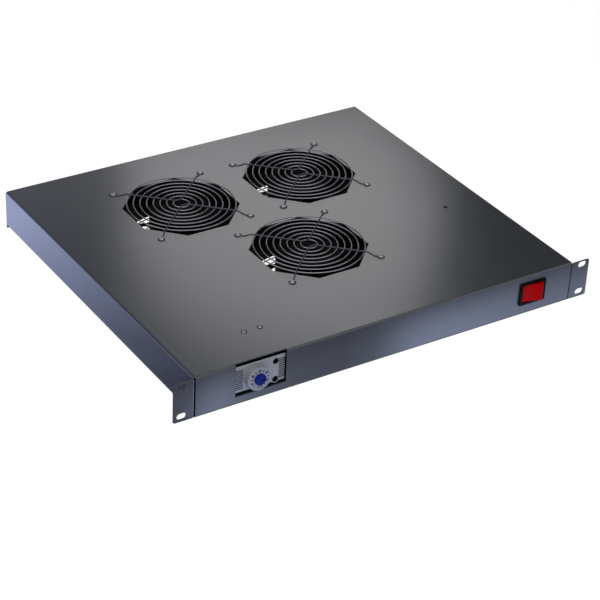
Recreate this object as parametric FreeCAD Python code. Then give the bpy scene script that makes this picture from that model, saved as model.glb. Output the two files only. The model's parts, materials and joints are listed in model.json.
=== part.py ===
import FreeCAD, Part
import math
import os

from FreeCAD import Vector

# Rack fan tray, 19 inch and 1U high: a folded steel tray that carries three axial fans, each between two
# wire finger guards, with a thermostat and a rocker switch in its front panel and a mains inlet behind.
# Millimetres. X runs to the right seen from the front, Y runs back into the rack, Z is up.
# The origin is the middle of the ears' four slots, on the rear face of the ears, where the rack rail is.

# Shared by every piece
past = 1.0                  # how far a cutting tool runs past the faces it cuts
thread_play = 0.05          # between a screw and its nut, on the radius
hole_play = 0.2             # between a screw and a plain hole, on the radius
snug = 0.1                  # between pieces that are pushed together
merge = 1e-6                # two points nearer than this are one

# Tray, folded from one sheet
sheet_t = 1.2
bend_r = 2.0                # outer radius of every fold
panel_w = 482.6             # over the ears
panel_h = 43.5              # one rack unit less its clearance
body_w = 440.0
body_d = 400.0
side_lift = 4.0             # the side flanges stop this far above the panel's lower edge
ear_h = 42.0
ear_corner_r = 2.0
slot_inset = 8.75           # from the panel's end to the middle of a slot
slot_pitch_z = 31.75
slot_w = 6.5
slot_len = 10.0

# Fans, 120 mm square, one in front and two behind
fan_w = 120.0
fan_t = 38.0
fan_corner_r = 7.0
fan_flange_t = 5.0
fan_hole_pitch = 105.0
fan_hole_d = 4.6
duct_r = 57.5
duct_wall = 2.2
fan_cut_af = 114.0          # across the flats of the eight-sided cut-out
fan_pitch_x = 145.0
fan_row_pitch = 134.0
fan_front_from_face = 152.0

# Impeller and external-rotor motor
blade_count = 7
blade_t = 1.8
blade_h = 26.0
blade_pitch_deg = 31.5      # at the middle of the blade
blade_first_deg = 8.4
blade_station_count = 4
tip_gap = 1.5
hub_r = 33.5
hub_wall = 2.0
hub_drop = 2.5              # hub top below the fan's mouth
hub_h = 30.0
rotor_wall = 1.5
rotor_h = 21.0
rotor_play = 0.1            # between the rotor cup and the hub that is pressed over it
shaft_r = 2.0
shaft_play = 0.03
bearing_r = 5.5
bearing_h = 16.0
tube_wall = 2.0
tube_gap = 1.5              # between the bearing tube's end and the rotor cup
shaft_foot_gap = 0.5        # between the shaft's end and the motor base
stator_gap = 2.0            # between the stator and the rotor cup
base_r = 30.0
base_t = 3.0
strut_count = 3
strut_w = 8.0
strut_t = 4.0
stator_r = 25.0
stator_h = 13.0
stator_play = 0.1

# Finger guards: rings of thin wire on two V-shaped legs of thicker wire that end in screw loops
ring_r_first = 8.5
ring_r_last = 58.0
ring_wire = 1.6
ring_side_counts = [6, 6, 6, 8, 8, 8, 8, 10]
ring_rise_top = 1.8         # from the seat of the loops to the nearest side of the rings
ring_rise_bottom = 0.6      # the lower guard is flatter, so that it stays above the tray's lower edge
leg_wire = 1.8
wire_flat_share = 1.1       # width of a wire's flat lower side against its thickness
leg_foot = 3.5              # straight length beside a loop
leg_climb = 7.0             # run in which a leg climbs over the rings
loop_r = 3.6                # to the middle of the wire
loop_side_count = 6
apex_gap = 6.1              # from the guard's middle to the middle line of a leg
apex_half = 2.4             # half of the short straight between a leg's two arms

# Screws M4 x 45 that clamp guard, tray, fan and guard, with thin nuts
screw_r = 1.95
screw_len = 45.0
head_r = 3.2
head_h = 1.4
nut_af = 7.0
nut_h = 2.2
screw_side_count = 6

# Thermostat, lying on its side in a cut-out of the front flange
thermo_x = -149.5           # middle of its housing
thermo_from_bottom = 24.25
thermo_w = 60.0
thermo_h = 29.5
thermo_d = 28.5
thermo_set_back = 2.5       # housing face behind the panel face
thermo_wall = 1.6
thermo_chamfer = 1.3
thermo_cover_t = 1.5
thermo_cut_w = 55.6
thermo_cut_x = -147.8
thermo_cut_from_bottom = 8.0
thermo_cut_into_top = 3.0
vent_count = 11
vent_pitch = 2.05
vent_w = 1.1
vent_len_left = 13.5
vent_len_right = 8.0
vent_depth = 5.0
collar_x = -152.3           # dial axis, at the housing's middle height
collar_r = 12.6
collar_proud = 5.0          # in front of the panel face
collar_rim = 1.4
collar_recess = 0.8
scale_t = 0.5
scale_under_dial = 1.5      # how far the ring reaches under the dial
dial_r = 6.0
dial_proud = 2.6            # dial face in front of the collar
dial_gap = 0.4
dial_ease = 0.5
dial_slot_w = 1.3
dial_slot_depth = 0.9
spindle_r = 2.5
spindle_len = 13.0
spindle_play = 0.05
boss_wall = 1.8
boss_short = 2.0            # the boss stops this far short of the spindle's end
clamp_x = -130.7            # terminal screws
clamp_z_high = 33.0
clamp_z_low = 13.0
clamp_hole_r = 3.1
clamp_wall = 1.3
clamp_depth = 12.0          # of a well behind the face
clamp_screw_r = 2.4
clamp_screw_len = 5.0
clamp_slot_w = 0.8
bimetal_t = 0.8
bimetal_w = 7.0
bimetal_len = 34.0
bimetal_in = 3.0            # from the contact block's front to the strip's middle
slit_play = 0.05
contact_w = 12.0
contact_h = 12.0
contact_d = 12.0
contact_wall = 3.0          # behind the end of the strip

# Top-hat rail and the angle that hangs it from the tray
rail_w = 35.0
rail_h = 7.5
rail_t = 1.0
rail_crown = 27.0
rail_len = 33.0
rail_gap = 0.5              # between the housing's back and the rail's lips
rail_below_angle = 0.5
angle_w = 60.0
angle_x = -141.0
angle_h = 33.0
angle_t = 1.2
angle_foot = 15.0
angle_screw_x = -140.0
angle_screw_pitch = 18.5
angle_screw_from_face = 46.3
angle_screw_head_r = 3.0
angle_screw_head_h = 0.8
angle_screw_len = 8.0
full_nut_h = 3.2
rivet_r = 1.6
rivet_head_r = 3.0
rivet_head_h = 1.0
rivet_shares = (0.25, 0.75)  # of the rail's length, from below
clip_w = 20.0
clip_t = 2.0
clip_play = 0.2
clip_in = 0.5               # how far the hooks stop short of the rail's crown

# Wiring cover in the left front bay
wiring_t = 1.0
wiring_from_side = 15.0
wiring_w = 128.0
wiring_d = 62.0             # from the front flange to the outer face of its rear wall
wiring_lift = 1.5           # above the panel's lower edge
wiring_lip = 6.0
wiring_foot = 10.0

# Rocker switch
switch_x = 169.6
switch_from_bottom = 23.5
bezel_w = 32.0
bezel_h = 25.0
bezel_t = 2.0
bezel_corner_r = 1.5
switch_wall = 0.8
switch_d = 19.0
switch_cut_play = 0.1
rocker_half = 11.2          # half the length of the rocker's face
rocker_tip = 5.0            # from the pivot out to the ends of the face
rocker_h = 19.4
rocker_dish_deg = 7.0
rocker_tilt_deg = 15.0
rocker_play = 0.3
rocker_skirt = 1.0
switch_floor_gap = 1.0      # between the rocker's lowest swing and the cavity's floor
pivot_from_face = 1.5
pivot_pin_r = 1.5
pivot_play = 0.03
tab_w = 6.3
tab_t = 0.8
tab_len = 8.0
switch_tab_pitch = 7.5

# Mains inlet in the rear flange
inlet_x = 150.0
inlet_flange_w = 50.0
inlet_flange_h = 24.0
inlet_flange_t = 2.5
inlet_corner_r = 3.0
inlet_body_w = 27.4
inlet_body_h = 20.0
inlet_body_d = 19.0
inlet_socket_w = 24.2
inlet_socket_h = 16.8
inlet_socket_d = 17.0
inlet_key = 3.5             # the two cut corners of the socket
inlet_play = 0.2
inlet_screw_grow = 0.1
inlet_screw_pitch = 40.0
inlet_screw_r = 1.45
inlet_screw_head_r = 2.8
inlet_screw_len = 10.0
inlet_nut_af = 5.5
inlet_nut_h = 2.4
pin_w = 2.0
pin_h = 4.0
pin_len = 14.0
pin_pitch = 7.0
pin_step = 2.0              # line pins below and earth pin above the middle
inlet_pin_play = 0.05

# Terminal block and earth stud under the top plate
block_x = 172.0
block_from_face = 154.4
block_w = 17.0
block_h = 12.5
block_pole_count = 4
block_pole_pitch = 11.0
block_pole_w = 9.0
block_rib = 3.0
block_screw_r = 2.0
block_screw_h = 1.5
block_screw_depth = 2.0     # of its bore in the block's lower face
block_entry = 3.4           # square wire entries
block_entry_depth = 5.0
block_entry_drop = 6.0      # from the plate's underside to the middle of an entry
block_fix_r = 1.4
block_fix_head_r = 2.7
block_fix_len = 13.5
block_fix_play = 0.1
block_nut_af = 5.5
block_nut_h = 2.0
block_nut_play = 0.15
block_rib_h = 9.5
earth_from_side = 22.0
earth_from_back = 42.0
earth_stud_len = 12.0
earth_washer_r = 4.5
earth_washer_t = 0.8

# Flats that stand for a full circle where a round form is small, hidden or repeated
bore_flat_count = 6
wheel_flat_count = 21
duct_flat_count = 18
inner_flat_count = 10
cup_flat_count = 16
collar_flat_count = 22
well_flat_count = 8

# Levels and faces that follow from the sizes above
slot_pitch_x = panel_w - 2 * slot_inset
z_bot = -panel_h / 2
z_top = panel_h / 2
z_under = z_top - sheet_t
z_side = z_bot + side_lift
y_face = -sheet_t
y_back = y_face + body_d
x_side = body_w / 2
x_flange = x_side - bend_r   # front and rear flanges stop where the side bends begin
fan_front_y = y_face + fan_front_from_face
fan_back_y = fan_front_y + fan_row_pitch
fan_places = [(-fan_pitch_x / 2, fan_back_y), (fan_pitch_x / 2, fan_back_y), (0.0, fan_front_y)]
fan_bottom = z_under - fan_t


# ---------------------------------------------------------------- shapes used throughout

def box(x0, x1, y0, y1, z0, z1):
    return Part.makeBox(x1 - x0, y1 - y0, z1 - z0, Vector(x0, y0, z0))


def rod(radius, length, base, direction=Vector(0, 0, 1)):
    return Part.makeCylinder(radius, length, base, direction)


def flat_sided(corner, length, base, direction, flats):
    """A straight prism with a regular section, its corners at the given radius."""
    side = Vector(1, 0, 0)
    up = direction.cross(side)
    step = 2 * math.pi / flats
    points = []
    for i in range(flats):
        angle = (i + 0.5) * step
        points.append(base + side * (corner * math.cos(angle)) + up * (corner * math.sin(angle)))
    return prism(points, direction * length)


def peg(radius, length, base, direction=Vector(0, 0, 1), flats=None):
    """A pin with its corners on the circle, so that it turns inside a bore of the same name."""
    return flat_sided(radius, length, base, direction, flats or bore_flat_count)


def bore(radius, length, base, direction=Vector(0, 0, 1), flats=None):
    """The tool for a hole with its flats on the circle."""
    flats = flats or bore_flat_count
    return flat_sided(radius / math.cos(math.pi / flats), length, base, direction, flats)


def frustum(near, far, base, along, flats=None):
    """A cone's length with flats, from one corner radius to another."""
    flats = flats or bore_flat_count
    side = Vector(1, 0, 0)
    up = along.cross(side).normalize()
    first, last = [], []
    for i in range(flats):
        angle = (i + 0.5) * 2 * math.pi / flats
        out = side * math.cos(angle) + up * math.sin(angle)
        first.append(base + out * near)
        last.append(base + along + out * far)
    slants = []
    for i in range(flats):
        j = (i + 1) % flats
        slants.append([first[i], first[j], last[j], last[i]])
    return solid_of(slants + [first[::-1], last])


def sleeve(outer, inner, length, base, flats, direction=Vector(0, 0, 1)):
    """A peg with a bore through it."""
    inside = bore(inner, length + 2 * past, base - direction * past, direction, flats)
    return peg(outer, length, base, direction, flats).cut(inside)


def outline(points, radii=None):
    """A closed wire through the points, with the corners that have a radius rounded."""
    count = len(points)
    radii = radii or [0] * count
    corners = []
    for i in range(count):
        before, here, after = points[i - 1], points[i], points[(i + 1) % count]
        if not radii[i]:
            corners.append((here, here, here))
            continue
        back, ahead = (before - here).normalize(), (after - here).normalize()
        half = back.getAngle(ahead) / 2
        reach = radii[i] / math.tan(half)
        middle = (back + ahead).normalize()
        nearest = here + middle * (radii[i] / math.sin(half) - radii[i])
        corners.append((here + back * reach, nearest, here + ahead * reach))
    edges = []
    for i in range(count):
        start, nearest, end = corners[i]
        if radii[i]:
            edges.append(Part.Arc(start, nearest, end).toShape())
        following = corners[(i + 1) % count][0]
        if (following - end).Length > merge:
            edges.append(Part.LineSegment(end, following).toShape())
    return Part.Wire(Part.__sortEdges__(edges))


def prism(points, depth, radii=None):
    return Part.Face(outline(points, radii)).extrude(depth)


def xy(pairs, z=0.0):
    return [Vector(x, y, z) for x, y in pairs]


def xz(pairs, y=0.0):
    return [Vector(x, y, z) for x, z in pairs]


def yz(pairs, x=0.0):
    return [Vector(x, y, z) for y, z in pairs]


def rectangle(x, z, w, h):
    return [(x - w / 2, z - h / 2), (x + w / 2, z - h / 2), (x + w / 2, z + h / 2), (x - w / 2, z + h / 2)]


def polygon(count, radius, x=0.0, y=0.0, turn=0.0):
    step = 2 * math.pi / count
    angles = [turn + i * step for i in range(count)]
    return [(x + radius * math.cos(angle), y + radius * math.sin(angle)) for angle in angles]


def many_sided(count, radius, length, base):
    """An upright prism with a regular many-sided section, its faces touching the given radius."""
    corner = radius / math.cos(math.pi / count)
    return prism(xy(polygon(count, corner, base.x, base.y, math.pi / count), base.z), Vector(0, 0, length))


def solid_of(faces):
    shell = Part.Shell([Part.Face(Part.makePolygon(f + [f[0]])) for f in faces])
    made = Part.Solid(shell)
    if made.Volume < 0:
        made.reverse()
    return made


def wire_section(across):
    """Three corners of a wire's section, as high as the wire is thick and flat on its lower side."""
    half = across / 2
    return [(-half * wire_flat_share, -half), (half * wire_flat_share, -half), (0.0, half)]


def wire_rod(points, across, closed=False):
    """Wire bent through the points, with mitred corners."""
    count = len(points)
    spans = count if closed else count - 1
    ways = [(points[(i + 1) % count] - points[i]).normalize() for i in range(spans)]
    first = ways[0]
    side = first.cross(Vector(0, 0, 1)).normalize()
    up = side.cross(first).normalize()
    ring = [points[0] + side * a + up * b for a, b in wire_section(across)]

    def mitred(section, at, way, ahead):
        normal = (way + ahead).normalize()
        return [p + way * ((at - p).dot(normal) / way.dot(normal)) for p in section]

    if closed:
        ring = mitred(ring, points[0], ways[0], ways[-1])
    sections = [ring]
    for i in range(1, count):
        ahead = ways[i % spans] if (closed or i < spans) else ways[i - 1]
        sections.append(mitred(sections[-1], points[i], ways[i - 1], ahead))
    pairs = [(sections[i], sections[i + 1]) for i in range(count - 1)]
    if closed:
        pairs.append((sections[-1], sections[0]))
    faces = []
    for near, far in pairs:
        for i in range(len(near)):
            j = (i + 1) % len(near)
            faces.append([near[i], near[j], far[j], far[i]])
    if not closed:
        faces += [sections[0][::-1], sections[-1]]
    return solid_of(faces)


def fused(shapes):
    whole = shapes[0].multiFuse(shapes[1:]) if len(shapes) > 1 else shapes[0]
    return whole.removeSplitter()


def spun(shape, degrees, centre, axis=Vector(0, 0, 1)):
    turned = shape.copy()
    turned.rotate(centre, axis, degrees)
    return turned


def moved(shape, x=0.0, y=0.0, z=0.0):
    shifted = shape.copy()
    shifted.translate(Vector(x, y, z))
    return shifted


nodes = {}


def node(name, *shapes):
    solids = [s for shape in shapes for s in shape.Solids]
    nodes[name] = solids[0] if len(solids) == 1 else Part.makeCompound(solids)


# ---------------------------------------------------------------- tray

def folded_sheet():
    """Top plate with side, front and rear flanges and two ears, every fold at the same radius."""
    r, t, w = bend_r, sheet_t, x_side
    deep_y = y_face + r
    across = [(-w, z_side), (-w, z_top), (w, z_top), (w, z_side),
              (w - t, z_side), (w - t, z_under), (-w + t, z_under), (-w + t, z_side)]
    bends = [0, r, r, 0, 0, r - t, r - t, 0]
    sides = prism(xz(across, deep_y), Vector(0, body_d - 2 * r, 0), bends)
    fold = [(y_face, z_bot), (y_face, z_top), (deep_y, z_top), (deep_y, z_under), (0, z_under), (0, z_bot)]
    front = prism(yz(fold, -x_flange), Vector(2 * x_flange, 0, 0), [0, r, 0, 0, r - t, 0])
    rear = front.mirror(Vector(0, y_face + body_d / 2, 0), Vector(0, 1, 0))
    return fused([sides, front, rear, ear(1), ear(-1)])


def ear(side):
    """One ear, turned outwards from the front edge of a side flange."""
    r, t = bend_r, sheet_t
    x_in, x_bend, x_out = x_side - t, x_side - t + r, panel_w / 2
    deep_y = y_face + r
    turn = [(x_in, deep_y), (x_in, y_face), (x_bend, y_face), (x_bend, 0), (x_side, 0), (x_side, deep_y)]
    bent = prism(xy(turn, z_bot), Vector(0, 0, z_top - r - z_bot), [0, r, 0, 0, r - t, 0])
    flat = [(x_bend, z_bot), (x_out, z_bot), (x_out, z_bot + ear_h), (x_bend, z_bot + ear_h)]
    plate = prism(xz(flat, y_face), Vector(0, t, 0), [0, ear_corner_r, ear_corner_r, 0])
    made = bent.fuse(plate)
    return made if side > 0 else made.mirror(Vector(0, 0, 0), Vector(1, 0, 0))


def through_sheet(x, y, radius):
    return bore(radius, sheet_t + 2 * past, Vector(x, y, z_under - past))


def ear_slots():
    """Tools for the four round-ended slots on the rack's hole pitch."""
    through, back = sheet_t + 2 * past, Vector(0, 1, 0)
    tools = []
    for x in (-slot_pitch_x / 2, slot_pitch_x / 2):
        for z in (-slot_pitch_z / 2, slot_pitch_z / 2):
            straight = slot_len - slot_w
            parts = [prism(xz(rectangle(x, z, straight, slot_w), y_face - past), back * through)]
            for end in (-straight / 2, straight / 2):
                parts.append(rod(slot_w / 2, through, Vector(x + end, y_face - past, z), back))
            tools.append(fused(parts))
    return tools


def thermostat_window():
    x0, x1 = thermo_cut_x - thermo_cut_w / 2, thermo_cut_x + thermo_cut_w / 2
    return box(x0, x1, y_face - past, y_face + thermo_cut_into_top,
               z_bot + thermo_cut_from_bottom, z_top + past)


def switch_window():
    w = bezel_opening_w() + 2 * (switch_wall + switch_cut_play)
    h = switch_cavity_h() + 2 * (switch_wall + switch_cut_play)
    corners = rectangle(switch_x, z_bot + switch_from_bottom, w, h)
    return prism(xz(corners, y_face - past), Vector(0, sheet_t + 2 * past, 0))


def inlet_window():
    w, h = inlet_body_w + 2 * inlet_play, inlet_body_h + 2 * inlet_play
    start, through = y_back - sheet_t - past, Vector(0, sheet_t + 2 * past, 0)
    tools = [prism(xz(rectangle(inlet_x, 0, w, h), start), through)]
    for side in (-1, 1):
        place = Vector(inlet_x + side * inlet_screw_pitch / 2, start, 0)
        tools.append(bore(inlet_screw_r + inlet_play, through.Length, place, Vector(0, 1, 0)))
    return tools


def fan_holes():
    tools = []
    corner = fan_cut_af / 2 / math.cos(math.pi / 8)
    for x, y in fan_places:
        eight = polygon(8, corner, x, y, math.pi / 8)
        tools.append(prism(xy(eight, z_under - past), Vector(0, 0, sheet_t + 2 * past)))
        for cx, cy in screw_corners(x, y):
            tools.append(through_sheet(cx, cy, fan_hole_d / 2))
    return tools


def screw_corners(x, y):
    half = fan_hole_pitch / 2
    return [(x + sx * half, y + sy * half) for sx in (-1, 1) for sy in (-1, 1)]


def angle_screw_places():
    y = y_face + angle_screw_from_face
    return [(angle_screw_x + i * angle_screw_pitch, y) for i in (0, 1)]


def build_tray():
    """The folded sheet with every cut-out and hole."""
    tools = ear_slots() + [thermostat_window(), switch_window()] + inlet_window() + fan_holes()
    tools += [through_sheet(x, y, screw_r + hole_play) for x, y in angle_screw_places()]
    tools.append(block_screw_shape(block_x, y_face + block_from_face, block_fix_play))
    node("chassis", folded_sheet().cut(tools).removeSplitter())


# ---------------------------------------------------------------- fans

def eased_square(x, y, width, ease):
    """Corners of a square whose own corners are eased by two flats each."""
    half, near = width / 2, ease * (1 - math.sqrt(0.5))
    points = []
    for sx, sy in ((1, 1), (-1, 1), (-1, -1), (1, -1)):
        turn = [(half, half - ease), (half - near, half - near), (half - ease, half)]
        if sx * sy < 0:
            turn.reverse()
        points += [(x + sx * a, y + sy * b) for a, b in turn]
    return points


def fan_frame(x, y):
    """Square flanges on a round duct, with a motor base on struts at the lower side."""
    square = eased_square(x, y, fan_w, fan_corner_r)
    low = prism(xy(square, fan_bottom), Vector(0, 0, fan_flange_t))
    high = prism(xy(square, z_under - fan_flange_t), Vector(0, 0, fan_flange_t))
    wall = peg(duct_r + duct_wall, fan_t, Vector(x, y, fan_bottom), flats=duct_flat_count)
    duct = bore(duct_r, fan_t + 2 * past, Vector(x, y, fan_bottom - past), flats=duct_flat_count)
    body = fused([low, high, wall]).cut(duct)
    holes = []
    for cx, cy in screw_corners(x, y):
        holes.append(bore(fan_hole_d / 2, fan_t + 2 * past, Vector(cx, cy, fan_bottom - past)))
    body = body.cut(holes)
    inner = [peg(base_r, base_t, Vector(x, y, fan_bottom), flats=cup_flat_count)]
    end = x + duct_r + duct_wall / 2
    strut = box(x, end, y - strut_w / 2, y + strut_w / 2, fan_bottom, fan_bottom + strut_t)
    for i in range(strut_count):
        inner.append(spun(strut, 90 + i * 360 / strut_count, Vector(x, y, 0)))
    tube_h = tube_top() - fan_bottom
    inner.append(peg(bearing_r + tube_wall, tube_h, Vector(x, y, fan_bottom), flats=inner_flat_count))
    seat = bore(bearing_r, fan_t, Vector(x, y, fan_bottom + base_t), flats=inner_flat_count)
    return fused([body] + inner).cut(seat)


def hub_top():
    return z_under - hub_drop


def rotor_top():
    return hub_top() - hub_wall - rotor_play


def tube_top():
    return rotor_top() - rotor_wall - tube_gap


def blade(angle, low, lead):
    """A twisted blade: a thin bar that climbs as it turns round the hub, from inside its wall to the tip."""
    r_in, r_out = hub_r - hub_wall / 2, duct_r - tip_gap
    thick = blade_t / math.cos(math.radians(blade_pitch_deg))
    rise = blade_h - thick
    sections = []
    for i in range(blade_station_count):
        share = i / (blade_station_count - 1)
        way = angle + share * rise / lead * 2 * math.pi
        z = low + share * rise
        c, s = math.cos(way), math.sin(way)
        sections.append([Vector(r_in * c, r_in * s, z), Vector(r_out * c, r_out * s, z),
                         Vector(r_out * c, r_out * s, z + thick), Vector(r_in * c, r_in * s, z + thick)])
    faces = [sections[0][::-1], sections[-1]]
    for near, far in zip(sections, sections[1:]):
        for i in range(4):
            j = (i + 1) % 4
            faces += [[near[i], near[j], far[j]], [near[i], far[j], far[i]]]
    return solid_of(faces)


def impeller():
    """Hub cup with its blades, about the fan's axis."""
    top = hub_top()
    cup = peg(hub_r, hub_h, Vector(0, 0, top - hub_h), flats=wheel_flat_count)
    cup = cup.cut(bore(hub_r - hub_wall, hub_h, Vector(0, 0, top - hub_h - hub_wall), flats=wheel_flat_count))
    middle_r = (hub_r + duct_r - tip_gap) / 2
    lead = 2 * math.pi * middle_r * math.tan(math.radians(blade_pitch_deg))
    low = top - hub_h / 2 - blade_h / 2
    half_turn = blade_h / lead * math.pi
    blades = []
    for i in range(blade_count):
        mid = math.radians(blade_first_deg) + i * 2 * math.pi / blade_count
        blades.append(blade(mid - half_turn, low, lead))
    return fused([cup] + blades)


def rotor():
    """Steel cup inside the hub, with the shaft that runs in the bearings."""
    outer = hub_r - hub_wall - rotor_play
    top = rotor_top()
    cup = peg(outer, rotor_h, Vector(0, 0, top - rotor_h), flats=cup_flat_count)
    low = Vector(0, 0, top - rotor_h - rotor_wall)
    cup = cup.cut(bore(outer - rotor_wall, rotor_h, low, flats=cup_flat_count))
    foot = fan_bottom + base_t + shaft_foot_gap
    return fused([cup, peg(shaft_r, top - foot, Vector(0, 0, foot), flats=inner_flat_count)])


def build_fans():
    wheel, cup = impeller(), rotor()
    stators, bearings = [], []
    for i, (x, y) in enumerate(fan_places, 1):
        node(f"fan_frame_{i}", fan_frame(x, y))
        node(f"impeller_{i}", moved(wheel, x, y))
        node(f"rotor_{i}", moved(cup, x, y))
        low = Vector(x, y, rotor_top() - rotor_wall - stator_gap - stator_h)
        inside = (bearing_r + tube_wall + stator_play) / math.cos(math.pi / inner_flat_count)
        stators.append(sleeve(stator_r, inside, stator_h, low, inner_flat_count))
        seat = Vector(x, y, fan_bottom + base_t)
        bearings.append(sleeve(bearing_r, shaft_r + shaft_play, bearing_h, seat, inner_flat_count))
    node("motor_stators", *stators)
    node("shaft_bearings", *bearings)


# ---------------------------------------------------------------- finger guards and their screws

def leg_path(side, rise):
    """Middle line of one V-shaped leg, from a loop up over the rings, past the middle and down again."""
    foot_z = leg_wire / 2
    over_z = rise + ring_wire + leg_wire / 2
    loop_at = fan_hole_pitch / 2 * math.sqrt(2)
    s = math.sqrt(0.5)
    start = loop_at - loop_r
    down = start - leg_foot
    up = down - leg_climb

    def at(r, lateral, z):
        return Vector(lateral * r * s, side * r * s, z)

    arm = [(start, foot_z), (down, foot_z), (up, over_z)]
    path = [at(r, 1, z) for r, z in arm]
    path += [Vector(x, side * apex_gap, over_z) for x in (apex_half, -apex_half)]
    path += [at(r, -1, z) for r, z in reversed(arm)]
    return path


def guard(rise):
    """One finger guard with the seat of its loops at height 0: rings under two legs that end in loops."""
    made = []
    for k in range(len(ring_side_counts)):
        r = ring_r_first + k * (ring_r_last - ring_r_first) / (len(ring_side_counts) - 1)
        count = ring_side_counts[k]
        corner = r / math.cos(math.pi / count)
        middle = rise + ring_wire / 2
        points = xy(polygon(count, (r + corner) / 2, turn=math.pi / count), middle)
        made.append(wire_rod(points, ring_wire, closed=True))
    half, turn = fan_hole_pitch / 2, math.pi / loop_side_count
    corner = loop_r / math.cos(turn)
    for side in (-1, 1):
        leg = wire_rod(leg_path(side, rise), leg_wire)
        loops = []
        for x in (-half, half):
            points = xy(polygon(loop_side_count, corner, x, side * half, turn), leg_wire / 2)
            loops.append(wire_rod(points, leg_wire, closed=True))
        made.append(leg.fuse(loops))
    return Part.makeCompound(made)


def clamp_screw(x, y):
    seat = z_top + leg_wire
    head = many_sided(screw_side_count, head_r, head_h, Vector(x, y, seat))
    shank = many_sided(screw_side_count, screw_r, screw_len, Vector(x, y, seat - screw_len))
    return fused([head, shank])


def clamp_nut(x, y):
    seat = fan_bottom - leg_wire
    six = many_sided(6, nut_af / 2, nut_h, Vector(x, y, seat - nut_h))
    low = Vector(x, y, seat - nut_h - past)
    return six.cut(many_sided(screw_side_count, screw_r + thread_play, nut_h + 2 * past, low))


def build_guards():
    upper = guard(ring_rise_top)
    lower = guard(ring_rise_bottom).mirror(Vector(0, 0, 0), Vector(0, 0, 1))
    screws, nuts = [], []
    for i, (x, y) in enumerate(fan_places, 1):
        node(f"guard_top_{i}", moved(upper, x, y, z_top))
        node(f"guard_bottom_{i}", moved(lower, x, y, fan_bottom))
        for cx, cy in screw_corners(x, y):
            screws.append(clamp_screw(cx, cy))
            nuts.append(clamp_nut(cx, cy))
    node("guard_screws", *screws)
    node("guard_nuts", *nuts)


# ---------------------------------------------------------------- thermostat

def thermo_levels():
    """Front face, back of the housing, and its middle height."""
    front = y_face + thermo_set_back
    return front, front + thermo_d, z_bot + thermo_from_bottom


def clamp_places():
    return [Vector(clamp_x, thermo_levels()[0], z_bot + z) for z in (clamp_z_high, clamp_z_low)]


def thermo_housing():
    """Open-backed shell with a chamfered face, end vents, a round collar and two screw wells."""
    front, back, z_mid = thermo_levels()
    x0, x1 = thermo_x - thermo_w / 2, thermo_x + thermo_w / 2
    z0, z1 = z_mid - thermo_h / 2, z_mid + thermo_h / 2
    shell = box(x0, x1, front, back, z0, z1)
    rim = [e for e in shell.Edges if all(abs(v.Y - front) < merge for v in e.Vertexes)]
    shell = shell.makeChamfer(thermo_chamfer, rim)
    w, along = thermo_wall, Vector(0, 1, 0)
    shell = shell.cut(box(x0 + w, x1 - w, front + w, back + past, z0 + w, z1 - w))
    face = y_face - collar_proud
    solids = [shell, peg(collar_r, front + w - face, Vector(collar_x, face, z_mid), along, collar_flat_count)]
    boss_len, seat = spindle_len - boss_short, Vector(collar_x, front, z_mid)
    solids.append(peg(spindle_r + boss_wall, boss_len, seat, along, inner_flat_count))
    tools = vents(x0, x1, front, z_mid)
    for place in clamp_places():
        solids.append(peg(clamp_hole_r + clamp_wall, clamp_depth, place, along, well_flat_count))
        tools.append(bore(clamp_hole_r, clamp_depth, place - along * past, along, well_flat_count))
    mouth = Vector(collar_x, face - past, z_mid)
    tools.append(bore(collar_r - collar_rim, collar_recess + past, mouth, along, collar_flat_count))
    tools.append(bore(spindle_r + spindle_play, back - face, mouth, along, inner_flat_count))
    return fused(solids).cut(tools)


def vents(x0, x1, front, z_mid):
    """Tools for the rows of slots that run round both ends of the housing's face."""
    tools = []
    for i in range(vent_count):
        z = z_mid + (i - (vent_count - 1) / 2) * vent_pitch
        for a, b in ((x0 - past, x0 + vent_len_left), (x1 - vent_len_right, x1 + past)):
            tools.append(box(a, b, front - past, front + vent_depth, z - vent_w / 2, z + vent_w / 2))
    return tools


def scale_ring():
    """Thin printed ring that lies in the collar's recess, under the dial's rim."""
    seat = y_face - collar_proud + collar_recess
    outer, inner = collar_r - collar_rim - snug, dial_r - scale_under_dial
    place = Vector(collar_x, seat - scale_t, thermo_levels()[2])
    return sleeve(outer, inner, scale_t, place, wheel_flat_count, Vector(0, 1, 0))


def dial():
    """Round knob with a pointer slot, on a spindle that runs in the housing's boss."""
    axis_z = thermo_levels()[2]
    face = y_face - collar_proud - dial_proud
    foot = y_face - collar_proud + collar_recess - scale_t - dial_gap
    along = Vector(0, 1, 0)
    knob = peg(dial_r, foot - face, Vector(collar_x, face, axis_z), along, cup_flat_count)
    rim = [e for e in knob.Edges if abs(e.BoundBox.YMax - face) < merge]
    knob = knob.makeChamfer(dial_ease, rim)
    slot = box(collar_x, collar_x + dial_r + past, face - past, face + dial_slot_depth,
               axis_z - dial_slot_w / 2, axis_z + dial_slot_w / 2)
    spindle = peg(spindle_r, spindle_len, Vector(collar_x, foot - snug, axis_z), along, inner_flat_count)
    return fused([knob.cut(slot), spindle])


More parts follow.
